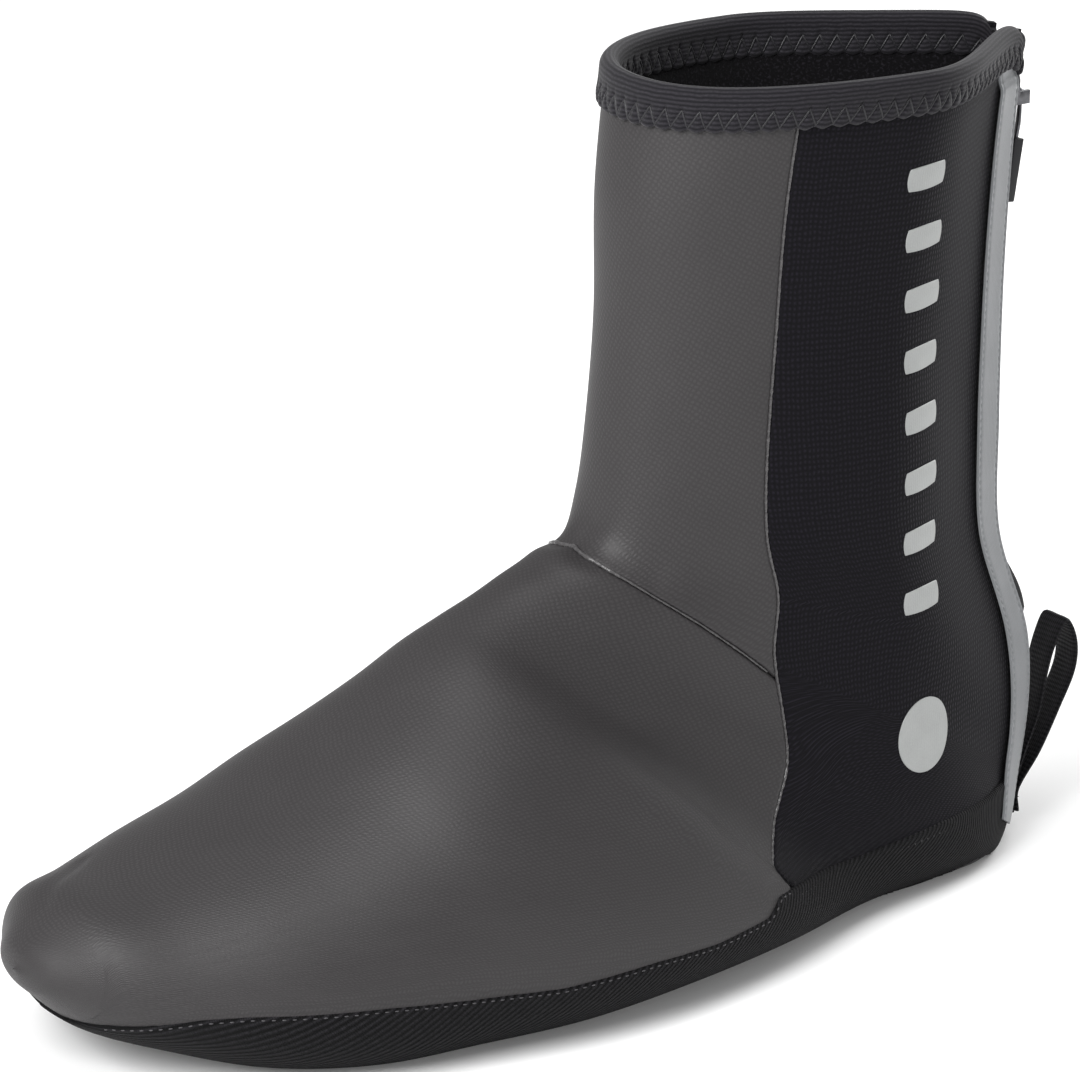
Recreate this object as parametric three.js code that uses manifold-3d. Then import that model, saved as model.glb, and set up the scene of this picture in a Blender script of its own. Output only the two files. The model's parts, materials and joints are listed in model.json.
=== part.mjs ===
// A cycling overshoe for the left foot: a neoprene boot that is pulled over a cycling shoe, open
// at the collar and under the heel and the ball, and closed by a zip down its back.
// Millimetres, +Z up, standing on its sole. The toe points to -X and the outer side of the foot is -Y.
// Every curved piece is cut from one family of forms: the outside of the boot, moved in or out along
// its own normals, so the pieces fit each other at any size.
import * as THREE from "three";
import Module from "manifold-3d";
import { mergeVertices } from "three/addons/utils/BufferGeometryUtils.js";

const wasm = await Module();
wasm.setup();

// Driving sizes of the boot's outside
const bootLength = 300;
const bootHeight = 226;
const ballWidth = 115;

// Cloth of the upper and the sole, and the raised seams
const neopreneWall = 3;
const soleCloth = 2.4;
const soleLap = 0.8;
const seamWidth = 2.4;
const seamRise = 0.7;
const fit = 0.3;

// Collar binding, folded over the top edge
const bindingHeight = 11;
const bindingCloth = 1.2;

// Openings under the ball and the heel, and the tape that binds the heel opening
const cleatForward = 196;
const cleatLength = 60;
const cleatWidth = 44;
const heelForward = 41;
const heelLength = 54;
const heelWidth = 32;
const tapeWidth = 7;
const tapeHeight = 4;
const tapeLap = 1.2;

// Zip down the back, and how steeply the flanks leave it
const zipSlot = 11;
const zipBottom = 14;
const zipCloth = 0.9;
const zipSunk = 1.6;
const flankSlope = 0.8;
const coilWidth = 4.6;
const coilHeight = 2.2;

// Reflective strip beside the zip
const stripWidth = 13;
const stripCloth = 0.7;
const stripEdge = 0.6;
const stripUp = 7;

// Slider and its pull. The pull hangs a little towards the zip.
const sliderLength = 11;
const sliderWidth = 8;
const sliderBody = 2.4;
const sliderUp = bootHeight - 19;
const pinUp = sliderUp - 3.5;
const pinRadius = 0.8;
const pinPlay = 0.35;
const eyeWall = 1;
const earWall = 1;
const linkLength = 15;
const linkWidth = 3.4;
const linkCloth = 1.4;
const tabLength = 17;
const tabWidth = 6;
const tabCloth = 3.2;
const tabGrip = 4;
const pullLean = 7;

// Pull loop at the heel
const loopWidth = 10;
const loopCloth = 1.4;
const loopHeight = 52;
const loopReach = 22;
const loopUp = 5;

// How far the forms reach above the collar, and the cutting blocks past the boot
const aboveCollar = 14;
const past = 40;

// Mesh fineness
const COLUMNS = 34;
const STEPS_PER_ROW = 2;
const STADIUM_STEPS = 10;
const PIN_SIDES = 16;
const LOOP_STEPS = 30;
const HALVINGS = 30;

// Reads a table with named columns: one object for each row.
function rowsOf(table) {
  const [names, ...rows] = table.trim().split("\n").map((line) => line.trim().split(/\s+/));
  return rows.map((cells) =>
    Object.fromEntries(names.map((name, i) => [name, name === "name" ? cells[i] : Number(cells[i])])),
  );
}

// The outside, as a fan of sections from the collar over the ankle to the toe. A section lies in the
// plane through its front point (on the shin or instep) and its back point (on the heel or sole).
// Forward is measured from the heel's back in shares of bootLength, up in shares of bootHeight, the
// widths and the shift to the inner side in shares of ballWidth. Widest is where the section is
// widest, from 0 at the back point to 1 at the front point. The two roundness values are powers:
// 2 is an ellipse and more is squarer. Sink is how far the round goes below the sole line, which
// cuts it flat. Pinch is 1 where the back is drawn together at the zip: a flat as wide as the zip,
// and straight flanks from there. Seam is the angle of the side seam, 0 at the front point.
const sectionTable = `
name    frontForward frontUp backForward backUp outer inner shift widest pinch backRound frontRound sink  seam
collar  0.406        1.000   0.003       1.000  0.365 0.365 0.000  0.50   1     2.00      2.10       0     57
calf    0.422        0.860   0.013       0.850  0.325 0.330 0.000  0.50   1     2.00      2.10       0     59
shin    0.425        0.720   0.019       0.690  0.305 0.310 0.000  0.50   1     2.00      2.10       0     59
ankle   0.435        0.600   0.019       0.530  0.300 0.300 0.000  0.49   1     2.00      2.10       0     59
bend    0.446        0.520   0.016       0.390  0.295 0.300 0.000  0.48   1     2.00      2.10       0     61
crease  0.466        0.480   -0.021      0.250  0.290 0.295 0.000  0.46   1     2.00      2.10       0     64
instep  0.499        0.463   -0.017      0.110  0.280 0.285 0.000  0.43   0.6   2.00      2.10       0     67
saddle  0.529        0.450   0.014       0.010  0.280 0.285 0.000  0.38   0.1   2.10      2.10       0.010 71
heel    0.558        0.434   0.069       0.000  0.295 0.290 0.000  0.32   0     2.30      2.10       0.020 74
shank   0.589        0.417   0.200       0.004  0.335 0.310 0.000  0.28   0     2.60      2.10       0.020 82
waist   0.622        0.395   0.320       0.008  0.455 0.365 -0.005 0.28   0     2.60      2.10       0.020 92
midfoot 0.657        0.362   0.440       0.006  0.515 0.410 -0.010 0.30   0     2.60      2.15       0.020 104
tread   0.694        0.328   0.560       0.000  0.525 0.450 -0.010 0.32   0     2.60      2.20       0.020 178
ball    0.734        0.291   0.665       0.000  0.510 0.470 0.010  0.34   0     2.60      2.20       0.020 178
joint   0.784        0.253   0.755       0.000  0.470 0.470 0.015  0.36   0     2.60      2.20       0.018 178
toes    0.841        0.223   0.835       0.009  0.410 0.430 0.030  0.40   0     2.50      2.20       0.014 178
toebox  0.899        0.195   0.905       0.032  0.320 0.350 0.050  0.44   0     2.40      2.20       0.008 178
toecap  0.947        0.185   0.952       0.048  0.235 0.260 0.065  0.48   0     2.20      2.20       0     178
nose    0.976        0.160   0.983       0.084  0.135 0.145 0.065  0.50   0     2.00      2.00       0     178
bead    0.993        0.141   0.9945      0.100  0.075 0.080 0.065  0.50   0     2.00      2.00       0     178
tip     1.000        0.120   1.000       0.120  0.000 0.000 0.065  0.50   0     2.00      2.00       0     178
`;
const sectionRows = rowsOf(sectionTable);
const lastRow = sectionRows.length - 1;

// A smooth curve through one column of the table, where 0 is the first row and lastRow the last.
function column(name, place) {
  const i = Math.min(Math.floor(place), lastRow - 1);
  const t = place - i;
  const value = (k) => {
    if (k < 0) return 2 * sectionRows[0][name] - sectionRows[1][name];
    if (k > lastRow) return 2 * sectionRows[lastRow][name] - sectionRows[lastRow - 1][name];
    return sectionRows[k][name];
  };
  const [a, b, c, d] = [value(i - 1), value(i), value(i + 1), value(i + 2)];
  const slopeIn = (c - a) / 2;
  const slopeOut = (d - b) / 2;
  return (
    (2 * t ** 3 - 3 * t ** 2 + 1) * b +
    (t ** 3 - 2 * t ** 2 + t) * slopeIn +
    (3 * t ** 2 - 2 * t ** 3) * c +
    (t ** 3 - t ** 2) * slopeOut
  );
}

const backX = bootLength / 2;
const xOf = (forward) => backX - forward;

// The half width of the pinched back, as a share of the half width of the section, from the zip's
// edge, where t is 0, to the widest place, where t is 1.
function pinched(t, half) {
  const edge = zipSlot / 2 / half;
  const flank = flankSlope * (t ** 3 - 2 * t ** 2 + t) + 3 * t ** 2 - 2 * t ** 3;
  return edge + (1 - edge) * flank;
}

// A point of the outside. place runs along the table's rows and angle round the section, 0 at the
// front point, a quarter turn on the outer side and half a turn at the back point.
function outsidePoint(place, angle) {
  const sidePoint = (forward, up) =>
    new THREE.Vector2(column(forward, place) * bootLength, column(up, place) * bootHeight);
  const front = sidePoint("frontForward", "frontUp");
  const back = sidePoint("backForward", "backUp");
  const soleUp = back.y;
  const chord = back.clone().sub(front);
  const length = chord.length();
  if (length > 1e-6) back.addScaledVector(chord, (column("sink", place) * bootHeight) / length);
  const c = Math.cos(angle);
  const s = Math.abs(Math.sin(angle)) < 1e-9 ? 0 : Math.sin(angle);
  const power = column(c < 0 ? "backRound" : "frontRound", place);
  const along = Math.sign(c) * Math.abs(c) ** (2 / power);
  const round = Math.abs(s) ** (2 / power);
  const half = column(s > 0 ? "outer" : "inner", place) * ballWidth;
  const widest = column("widest", place);
  const share = along < 0 ? widest * (1 + along) : widest + (1 - widest) * along;
  const point = back.lerp(front, share);
  const pinch = c < 0 && round > 0 ? column("pinch", place) : 0;
  const across = pinch > 0 ? round + pinch * (pinched(1 + along, half) - round) : round;
  const y = column("shift", place) * ballWidth - half * across * Math.sign(s);
  return new THREE.Vector3(xOf(point.x), y, Math.max(point.y, soleUp));
}

// Solids from the forms.

// The outward normal of the outside, from two small steps along it.
function outsideNormal(place, angle) {
  const step = 0.02;
  const before = Math.max(place - step, 0);
  const after = Math.min(place + step, lastRow - step);
  const alongRows = outsidePoint(after, angle).sub(outsidePoint(before, angle));
  const round = outsidePoint(place, angle + step).sub(outsidePoint(place, angle - step));
  return alongRows.cross(round).normalize();
}

// A point off the outside, moved out by offset, or in where offset is below zero.
function offPoint(place, angle, offset) {
  return outsidePoint(place, angle).addScaledVector(outsideNormal(place, angle), offset);
}

// Joins rings of equal length into one closed solid. The first ring is capped, and the last one is
// capped too or drawn in to a tip.
function solidOfRings(rings, tip) {
  const size = rings[0].length;
  const middleOf = (ring) =>
    ring.reduce((sum, p) => sum.add(p), new THREE.Vector3()).divideScalar(size);
  const points = [...rings.flat(), middleOf(rings[0]), tip ?? middleOf(rings.at(-1))];
  const [first, last] = [points.length - 2, points.length - 1];
  const lastRing = (rings.length - 1) * size;
  const faces = [];
  for (let j = 0; j < size; j++) {
    const k = (j + 1) % size;
    faces.push([first, j, k], [last, lastRing + k, lastRing + j]);
    for (let i = 0; i < lastRing; i += size) {
      faces.push([i + j, i + size + j, i + size + k], [i + j, i + size + k, i + k]);
    }
  }
  return new wasm.Manifold(
    new wasm.Mesh({
      numProp: 3,
      vertProperties: Float32Array.from(points.flatMap((p) => p.toArray())),
      triVerts: Uint32Array.from(faces.flat()),
    }),
  );
}

// A closed three.js geometry as a solid.
function solidOf(geometry) {
  const bare = geometry.clone();
  bare.deleteAttribute("normal");
  bare.deleteAttribute("uv");
  const merged = mergeVertices(bare, 1e-4);
  return new wasm.Manifold(
    new wasm.Mesh({
      numProp: 3,
      vertProperties: merged.attributes.position.array,
      triVerts: Uint32Array.from(merged.index.array),
    }),
  );
}

// A closed form: the outside moved by offset. It reaches above the collar, so that a flat cut
// makes the rim. No point crosses the middle plane at the pinched back, and none goes under the floor.
function form(offset) {
  const rings = [];
  for (let i = 0; i < lastRow * STEPS_PER_ROW; i++) {
    const place = i / STEPS_PER_ROW;
    const middle = column("shift", place) * ballWidth;
    const ring = [];
    for (let j = 0; j < COLUMNS; j++) {
      const angle = (j / COLUMNS) * 2 * Math.PI;
      const point = offPoint(place, angle, offset);
      point.y = Math.sin(angle) > 0 ? Math.min(point.y, middle) : Math.max(point.y, middle);
      point.z = Math.max(point.z, 0);
      ring.push(point);
    }
    rings.push(ring);
  }
  rings.unshift(rings[0].map((p) => p.clone().setZ(bootHeight + aboveCollar)));
  const tip = outsidePoint(lastRow, 0);
  tip.x -= offset;
  return solidOfRings(rings, tip);
}

// The cloth between two offsets of the outside.
const shell = (outer, inner) => form(outer).subtract(form(inner));

// A box between two corners.
function block(low, high) {
  const size = high.clone().sub(low);
  const geometry = new THREE.BoxGeometry(size.x, size.y, size.z);
  return solidOf(geometry.translate(...low.clone().add(high).divideScalar(2).toArray()));
}

const slab = (low, high) =>
  block(
    new THREE.Vector3(-bootLength, -ballWidth, low),
    new THREE.Vector3(bootLength, ballWidth, high),
  );
const slot = (width, low) =>
  block(
    new THREE.Vector3(backX - past, -width / 2, low),
    new THREE.Vector3(backX + past, width / 2, bootHeight + past),
  );

// An outline in side view, as [forward, up] pairs, carried through the whole width.
function sideCut(outline, width) {
  const shape = new THREE.Shape(outline.map(([forward, up]) => new THREE.Vector2(xOf(forward), up)));
  const geometry = new THREE.ExtrudeGeometry(shape, { depth: width, bevelEnabled: false });
  return solidOf(geometry.rotateX(Math.PI / 2).translate(0, width / 2, 0));
}

// A round-ended opening along the foot, from below the floor up.
function stadium(forward, length, width, grow, up) {
  const radius = width / 2 + grow;
  const reach = (length - width) / 2;
  const shape = new THREE.Shape();
  shape.absarc(reach, 0, radius, -Math.PI / 2, Math.PI / 2, false);
  shape.absarc(-reach, 0, radius, Math.PI / 2, 1.5 * Math.PI, false);
  const settings = { depth: up + past, bevelEnabled: false, curveSegments: STADIUM_STEPS };
  return solidOf(new THREE.ExtrudeGeometry(shape, settings).translate(xOf(forward), 0, -past));
}

// A band of the space near the outside, between two edges. Each step is [place, angle of one edge,
// angle of the other edge], and reach is how far it goes in and out.
function bandAlong(steps, reach) {
  const rings = steps.map(([place, from, to]) => {
    const corner = (angle, lift) => offPoint(place, angle, lift);
    return [corner(to, reach), corner(from, reach), corner(from, -reach), corner(to, -reach)];
  });
  return solidOfRings(rings);
}

// A raised line along a path of [place, angle] pairs: what lies within half a width of it, between
// the inside of the wall and the rise.
function ridge(path) {
  const points = path.map(([place, angle]) => outsidePoint(place, angle));
  const rings = path.map(([place, angle], i) => {
    const normal = outsideNormal(place, angle);
    const ahead = points[Math.min(i + 1, points.length - 1)];
    const behind = points[Math.max(i - 1, 0)];
    const side = ahead.clone().sub(behind).cross(normal).setLength(seamWidth / 2);
    const corner = (sign, lift) =>
      points[i].clone().addScaledVector(side, sign).addScaledVector(normal, lift);
    const sunk = neopreneWall / 2;
    return [corner(-1, -sunk), corner(1, -sunk), corner(1, 2 * sunk), corner(-1, 2 * sunk)];
  });
  return solidOfRings(rings).intersect(form(seamRise));
}

// Upper, sole and bindings.

// The lapped edge of the sole cloth, from the heel's back to under the toe, in side view, as shares
// of bootLength and bootHeight. It steps down where the front panel's side seam meets it.
const lapTable = `
forward up
-0.100  0.090
0.067   0.089
0.147   0.093
0.250   0.088
0.372   0.097
0.390   0.081
0.457   0.077
0.523   0.081
0.620   0.079
0.663   0.083
0.765   0.091
0.870   0.092
0.903   0.088
0.953   0.071
0.968   0.055
0.975   0.030
0.978   -0.050
`;

// Everything under the lap line, moved up and forward by rise.
function underLap(rise) {
  const line = rowsOf(lapTable).map((row) => [
    row.forward * bootLength + rise,
    row.up * bootHeight + rise,
  ]);
  return sideCut([...line, [line[0][0], line.at(-1)[1]]], 2 * ballWidth);
}

const degrees = Math.PI / 180;
const seamAngle = (place) => column("seam", place) * degrees;

// The side seam between the front panels and the side panel, from the collar down to the place of
// its foot, which the sole covers.
const seamFoot = 10.5;
function sideSeam(side) {
  const path = [];
  for (let place = 0; place <= seamFoot; place += 1 / STEPS_PER_ROW) {
    path.push([place, side * seamAngle(place)]);
  }
  return ridge(path);
}

// The seam across the instep, between the shaft's front and the vamp. Across is the share of the way
// from the front line to the side seam.
const instepTable = `
across place
0.00   5.06
0.25   5.30
0.46   5.57
0.62   5.80
0.77   6.00
0.90   6.22
1.00   6.42
`;
function instepSeam() {
  const half = rowsOf(instepTable).map((row) => [row.place, row.across * seamAngle(row.place)]);
  const inner = half.slice(1).map(([place, angle]) => [place, -angle]);
  return ridge([...inner.reverse(), ...half]);
}

const rimUp = bootHeight - bindingCloth - fit;
function upper() {
  const wall = shell(0, -neopreneWall);
  const seams = [sideSeam(1), sideSeam(-1), instepSeam()];
  return seams
    .reduce((solid, seam) => solid.add(seam), wall)
    .subtract(slab(rimUp, bootHeight + past))
    .subtract(underLap(fit))
    .subtract(slot(zipSlot, zipBottom));
}

// The tape seat is the room that the heel opening's tape takes from the sole.
function sole() {
  return shell(soleLap, soleLap - soleCloth)
    .intersect(underLap(0))
    .subtract(stadium(cleatForward, cleatLength, cleatWidth, 0, past))
    .subtract(stadium(heelForward, heelLength, heelWidth, tapeWidth + fit, tapeHeight + fit))
    .subtract(slot(zipSlot, zipBottom));
}

function heelBinding() {
  return form(tapeLap)
    .intersect(slab(0, tapeHeight))
    .intersect(stadium(heelForward, heelLength, heelWidth, tapeWidth, past))
    .subtract(stadium(heelForward, heelLength, heelWidth, 0, past));
}

function collarBinding() {
  const seat = shell(fit + seamRise, -neopreneWall - fit).subtract(slab(rimUp + fit, bootHeight + past));
  return shell(fit + seamRise + bindingCloth, -neopreneWall - fit - bindingCloth)
    .intersect(slab(bootHeight - bindingHeight, bootHeight))
    .subtract(seat)
    .subtract(slot(zipSlot, zipBottom));
}

// The zip.

const backPoint = (place) => outsidePoint(place, Math.PI);

// The place at which the back line is at a given height, by halving.
function placeAtHeight(up) {
  let [low, high] = [0, lastRow / 2];
  for (let i = 0; i < HALVINGS; i++) {
    const middle = (low + high) / 2;
    if (backPoint(middle).z > up) low = middle;
    else high = middle;
  }
  return low;
}

// Places from one height of the back line down to another, at the forms' own steps between.
function placesDown(top, bottom) {
  const [from, to] = [placeAtHeight(top), placeAtHeight(bottom)];
  const places = [from];
  for (let i = Math.floor(from * STEPS_PER_ROW) + 1; i < to * STEPS_PER_ROW; i++) {
    places.push(i / STEPS_PER_ROW);
  }
  return [...places, to];
}

// A ribbon down the zip, between two distances from the middle plane and two depths.
function zipRibbon(low, high, deep, shallow) {
  const rings = placesDown(bootHeight, zipBottom + fit).map((place) => {
    const corner = (y, depth) => offPoint(place, Math.PI, -depth).setY(y);
    return [corner(low, deep), corner(low, shallow), corner(high, shallow), corner(high, deep)];
  });
  return solidOfRings(rings);
}

const coilTop = zipSunk + zipCloth - coilHeight;
const zipCoil = () => zipRibbon(-coilWidth / 2, coilWidth / 2, zipSunk + zipCloth, coilTop);
function zipTape(side) {
  const edges = [side * (coilWidth / 2 + fit), side * (zipSlot / 2 - fit)].sort((a, b) => a - b);
  return zipRibbon(...edges, zipSunk + zipCloth, zipSunk);
}

// The angle at which the outer side of the pinched back is a given distance from the middle plane.
function angleAway(place, away) {
  let [low, high] = [Math.PI / 2, Math.PI];
  for (let i = 0; i < HALVINGS; i++) {
    const middle = (low + high) / 2;
    if (-outsidePoint(place, middle).y > away) low = middle;
    else high = middle;
  }
  return low;
}

// The strip lies on the outer side of the shaft, from the collar binding to the heel's tape.
function reflectiveStrip() {
  const places = placesDown(bootHeight - bindingHeight - fit, stripUp);
  const steps = places.map((place) => {
    const near = angleAway(place, zipSlot / 2 + stripEdge);
    const nearPoint = outsidePoint(place, near);
    let far = near;
    while (outsidePoint(place, far).distanceTo(nearPoint) < stripWidth) far -= degrees;
    return [place, near, far];
  });
  const seat = soleLap + fit;
  return shell(seat + stripCloth, seat).intersect(bandAlong(steps, 2 * seat + stripCloth));
}

// Slider, pull and loop.

// A flat outline, the same on both sides of the middle, given a thickness along X from x = 0. The
// points are the right side's [across, up] pairs from the foot up.
function plate(rightSide, thickness) {
  const leftSide = rightSide.map(([across, up]) => [-across, up]).reverse();
  const shape = new THREE.Shape([...rightSide, ...leftSide].map((pair) => new THREE.Vector2(...pair)));
  const geometry = new THREE.ExtrudeGeometry(shape, { depth: thickness, bevelEnabled: false });
  return solidOf(geometry.rotateX(Math.PI / 2).rotateZ(Math.PI / 2));
}

// A rod or ring of given radius along Y, round the origin.
function rod(radius, length) {
  return solidOf(new THREE.CylinderGeometry(radius, radius, length, PIN_SIDES));
}

const eyeRadius = pinRadius + pinPlay + eyeWall;
const sliderX = backPoint(placeAtHeight(sliderUp + sliderLength / 2)).x - coilTop + fit;
const pinX = sliderX + sliderBody + eyeRadius + fit;

// The body lies on the coil, narrower at its foot. Two ears hold the pin.
function slider() {
  const [half, foot, end] = [sliderWidth / 2, sliderWidth / 3, sliderLength / 2];
  const shoulder = end / 3;
  const outline = [
    [foot, -end],
    [half, -shoulder],
    [half, shoulder],
    [foot, end],
  ];
  const body = plate(outline, sliderBody).translate(sliderX, 0, sliderUp);
  const earGap = linkWidth / 2 + fit;
  const earUp = pinRadius + earWall;
  const ears = [-earGap - earWall, earGap].map((y) =>
    block(
      new THREE.Vector3(sliderX + sliderBody / 2, y, pinUp - earUp),
      new THREE.Vector3(pinX + earUp, y + earWall, pinUp + earUp),
    ),
  );
  const pin = rod(pinRadius, 2 * earGap + earWall).translate(pinX, 0, pinUp);
  return body.add(ears[0]).add(ears[1]).add(pin);
}

// The link's eye turns on the pin, and its tail is held in the moulded tab. Both are drawn with the
// pin at the origin, and grow widens the tail.
function linkTail(grow) {
  const half = linkWidth / 2 + grow;
  const outline = [
    [half, -linkLength - grow],
    [half, eyeWall / 2 - eyeRadius],
  ];
  return plate(outline, linkCloth + 2 * grow).translate(-linkCloth / 2 - grow, 0, 0);
}
const eye = () => rod(eyeRadius, linkWidth).subtract(rod(pinRadius + pinPlay, 2 * linkWidth));
const onPin = (solid) => solid.rotate(0, pullLean, 0).translate(pinX, 0, pinUp);
const pullLink = () => onPin(eye().add(linkTail(0)));

function pullTab() {
  const top = tabGrip - linkLength;
  const [half, corner, low] = [tabWidth / 2, tabWidth / 4, top - tabLength];
  const outline = [
    [half - corner, low],
    [half, low + corner],
    [half, top - corner],
    [half - corner, top],
  ];
  return onPin(plate(outline, tabCloth).translate(-tabCloth / 2, 0, 0).subtract(linkTail(fit)));
}

// The loop's webbing in side view, from the inner layer of its foot round to the outer one. It is
// sewn down between the first two rows. Back and up are shares of loopReach and loopHeight, and layer
// is 1 where the webbing lies on itself.
const loopTable = `
back  up    layer
0.00  0.00  0
0.00  0.13  0
0.17  0.31  0
0.40  0.52  0
0.50  0.71  0
0.61  0.87  0
0.79  0.99  0
0.96  0.87  0
0.95  0.71  0
0.72  0.52  0
0.34  0.31  1
0.00  0.13  1
0.00  0.00  1
`;
function heelLoop() {
  const rows = rowsOf(loopTable);
  const sewnUp = loopUp + rows[1].up * loopHeight;
  const seatX = backPoint(placeAtHeight(sewnUp)).x + soleLap + fit + loopCloth / 2;
  const points = rows.map(
    ({ back, up, layer }) =>
      new THREE.Vector3(
        seatX + back * loopReach + layer * (loopCloth + fit),
        0,
        loopUp + up * loopHeight,
      ),
  );
  const curve = new THREE.CatmullRomCurve3(points);
  const rings = [];
  for (let i = 0; i <= LOOP_STEPS; i++) {
    const point = curve.getPointAt(i / LOOP_STEPS);
    const ahead = curve.getTangentAt(i / LOOP_STEPS);
    const side = new THREE.Vector3(ahead.z, 0, -ahead.x).multiplyScalar(loopCloth / 2);
    const corner = (y, sign) => point.clone().addScaledVector(side, sign).setY(y);
    const half = loopWidth / 2;
    rings.push([corner(half, -1), corner(half, 1), corner(-half, 1), corner(-half, -1)]);
  }
  return solidOfRings(rings);
}

// The boot, piece by piece, with its origin in the middle of its footprint.

const model = new THREE.Group();
function addPiece(name, solid, finish) {
  const { numProp, vertProperties, triVerts } = solid.getMesh();
  const geometry = new THREE.BufferGeometry();
  geometry.setAttribute("position", new THREE.BufferAttribute(vertProperties, numProp));
  geometry.setIndex(new THREE.BufferAttribute(triVerts, 1));
  geometry.computeVertexNormals();
  const mesh = new THREE.Mesh(geometry, new THREE.MeshStandardMaterial(finish));
  mesh.name = name;
  model.add(mesh);
}

const coatedNeoprene = { color: 0x4b4a4c, roughness: 0.62, metalness: 0 };
const ribbedCloth = { color: 0x232224, roughness: 0.85, metalness: 0 };
const stretchTape = { color: 0x1d1c20, roughness: 0.9, metalness: 0 };
const webbing = { color: 0x1a191b, roughness: 0.85, metalness: 0 };
const reflectiveTape = { color: 0xa9acaf, roughness: 0.45, metalness: 0.2 };
const nylonCoil = { color: 0x161618, roughness: 0.5, metalness: 0 };
const darkNickel = { color: 0x8d8f92, roughness: 0.35, metalness: 1 };
const mouldedGrip = { color: 0x39393c, roughness: 0.6, metalness: 0 };

addPiece("upper", upper(), coatedNeoprene);
addPiece("sole", sole(), ribbedCloth);
addPiece("heel_binding", heelBinding(), stretchTape);
addPiece("collar_binding", collarBinding(), stretchTape);
addPiece("reflective_strip", reflectiveStrip(), reflectiveTape);
addPiece("zip_tape_outer", zipTape(-1), webbing);
addPiece("zip_tape_inner", zipTape(1), webbing);
addPiece("zip_coil", zipCoil(), nylonCoil);
addPiece("zip_slider", slider(), darkNickel);
addPiece("pull_link", pullLink(), darkNickel);
addPiece("pull_tab", pullTab(), mouldedGrip);
addPiece("heel_loop", heelLoop(), webbing);

const box = new THREE.Box3().setFromObject(model);
const middle = box.getCenter(new THREE.Vector3());
for (const mesh of model.children) mesh.position.set(-middle.x, -middle.y, -box.min.z);

export default model;
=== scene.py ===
# %% [markdown]
# A cycling overshoe, dressed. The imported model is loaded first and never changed. It gives every
# piece here its place: all of them are in metres, in its frame, with the toe towards -X and the
# outer side of the foot towards -Y.

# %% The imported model
import json
import math

import bmesh
import bpy
import numpy as np
from mathutils import Matrix, Vector
from mathutils.kdtree import KDTree


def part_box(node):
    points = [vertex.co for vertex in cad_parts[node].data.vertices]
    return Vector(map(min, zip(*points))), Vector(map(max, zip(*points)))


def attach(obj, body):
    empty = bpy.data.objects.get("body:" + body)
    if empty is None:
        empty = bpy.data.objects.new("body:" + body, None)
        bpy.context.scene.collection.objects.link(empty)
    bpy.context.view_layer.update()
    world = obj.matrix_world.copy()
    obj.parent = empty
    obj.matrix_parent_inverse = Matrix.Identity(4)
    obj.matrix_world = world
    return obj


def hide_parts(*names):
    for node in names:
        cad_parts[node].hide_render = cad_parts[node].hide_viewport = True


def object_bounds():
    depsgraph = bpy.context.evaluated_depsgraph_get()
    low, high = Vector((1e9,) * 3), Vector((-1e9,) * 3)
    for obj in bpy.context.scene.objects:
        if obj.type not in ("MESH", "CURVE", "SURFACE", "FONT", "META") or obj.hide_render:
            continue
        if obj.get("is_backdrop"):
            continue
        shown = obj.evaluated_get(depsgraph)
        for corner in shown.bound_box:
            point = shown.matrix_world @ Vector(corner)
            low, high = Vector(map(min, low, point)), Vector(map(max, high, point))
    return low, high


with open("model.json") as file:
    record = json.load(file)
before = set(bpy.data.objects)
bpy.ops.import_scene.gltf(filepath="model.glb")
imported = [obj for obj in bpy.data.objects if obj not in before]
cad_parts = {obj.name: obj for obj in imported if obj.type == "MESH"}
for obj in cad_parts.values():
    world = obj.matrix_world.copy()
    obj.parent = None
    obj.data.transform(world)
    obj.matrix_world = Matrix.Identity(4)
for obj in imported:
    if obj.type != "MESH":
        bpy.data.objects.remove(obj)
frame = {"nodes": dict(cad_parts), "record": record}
bpy.ops.object.select_all(action="DESELECT")
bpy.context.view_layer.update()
MM = 0.001

# %% [markdown]
# The camera stands where the photographer's did: in front of the toe and to the outer side, a little
# above the collar's height, far enough off that the foot is hardly drawn in. The photograph is 1080
# pixels wide, and its focal length in pixels gives the lens.

# %% Camera
PHOTO_WIDTH = 1080
FOCAL_PIXELS = 5580
CAMERA_AZIMUTH = math.radians(-35.17)
CAMERA_HEIGHT = math.radians(17.94)
CAMERA_DISTANCE = 1.4
toe_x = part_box("upper")[0].x
middle_y = (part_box("zip_coil")[0].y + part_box("zip_coil")[1].y) / 2
aim = Vector((toe_x + 150.386 * MM, middle_y, 111.06 * MM))
towards_camera = Vector((
    math.sin(CAMERA_AZIMUTH) * math.cos(CAMERA_HEIGHT),
    -math.cos(CAMERA_AZIMUTH) * math.cos(CAMERA_HEIGHT),
    math.sin(CAMERA_HEIGHT),
))
bpy.ops.object.camera_add(location=aim + towards_camera * CAMERA_DISTANCE)
camera = bpy.context.object
camera.rotation_mode = "QUATERNION"
camera.rotation_quaternion = (-towards_camera).to_track_quat("-Z", "Y")
camera.data.sensor_width = 36
camera.data.lens = FOCAL_PIXELS * camera.data.sensor_width / PHOTO_WIDTH
bpy.context.scene.camera = camera
print("lens", round(camera.data.lens, 1), "mm")
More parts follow.
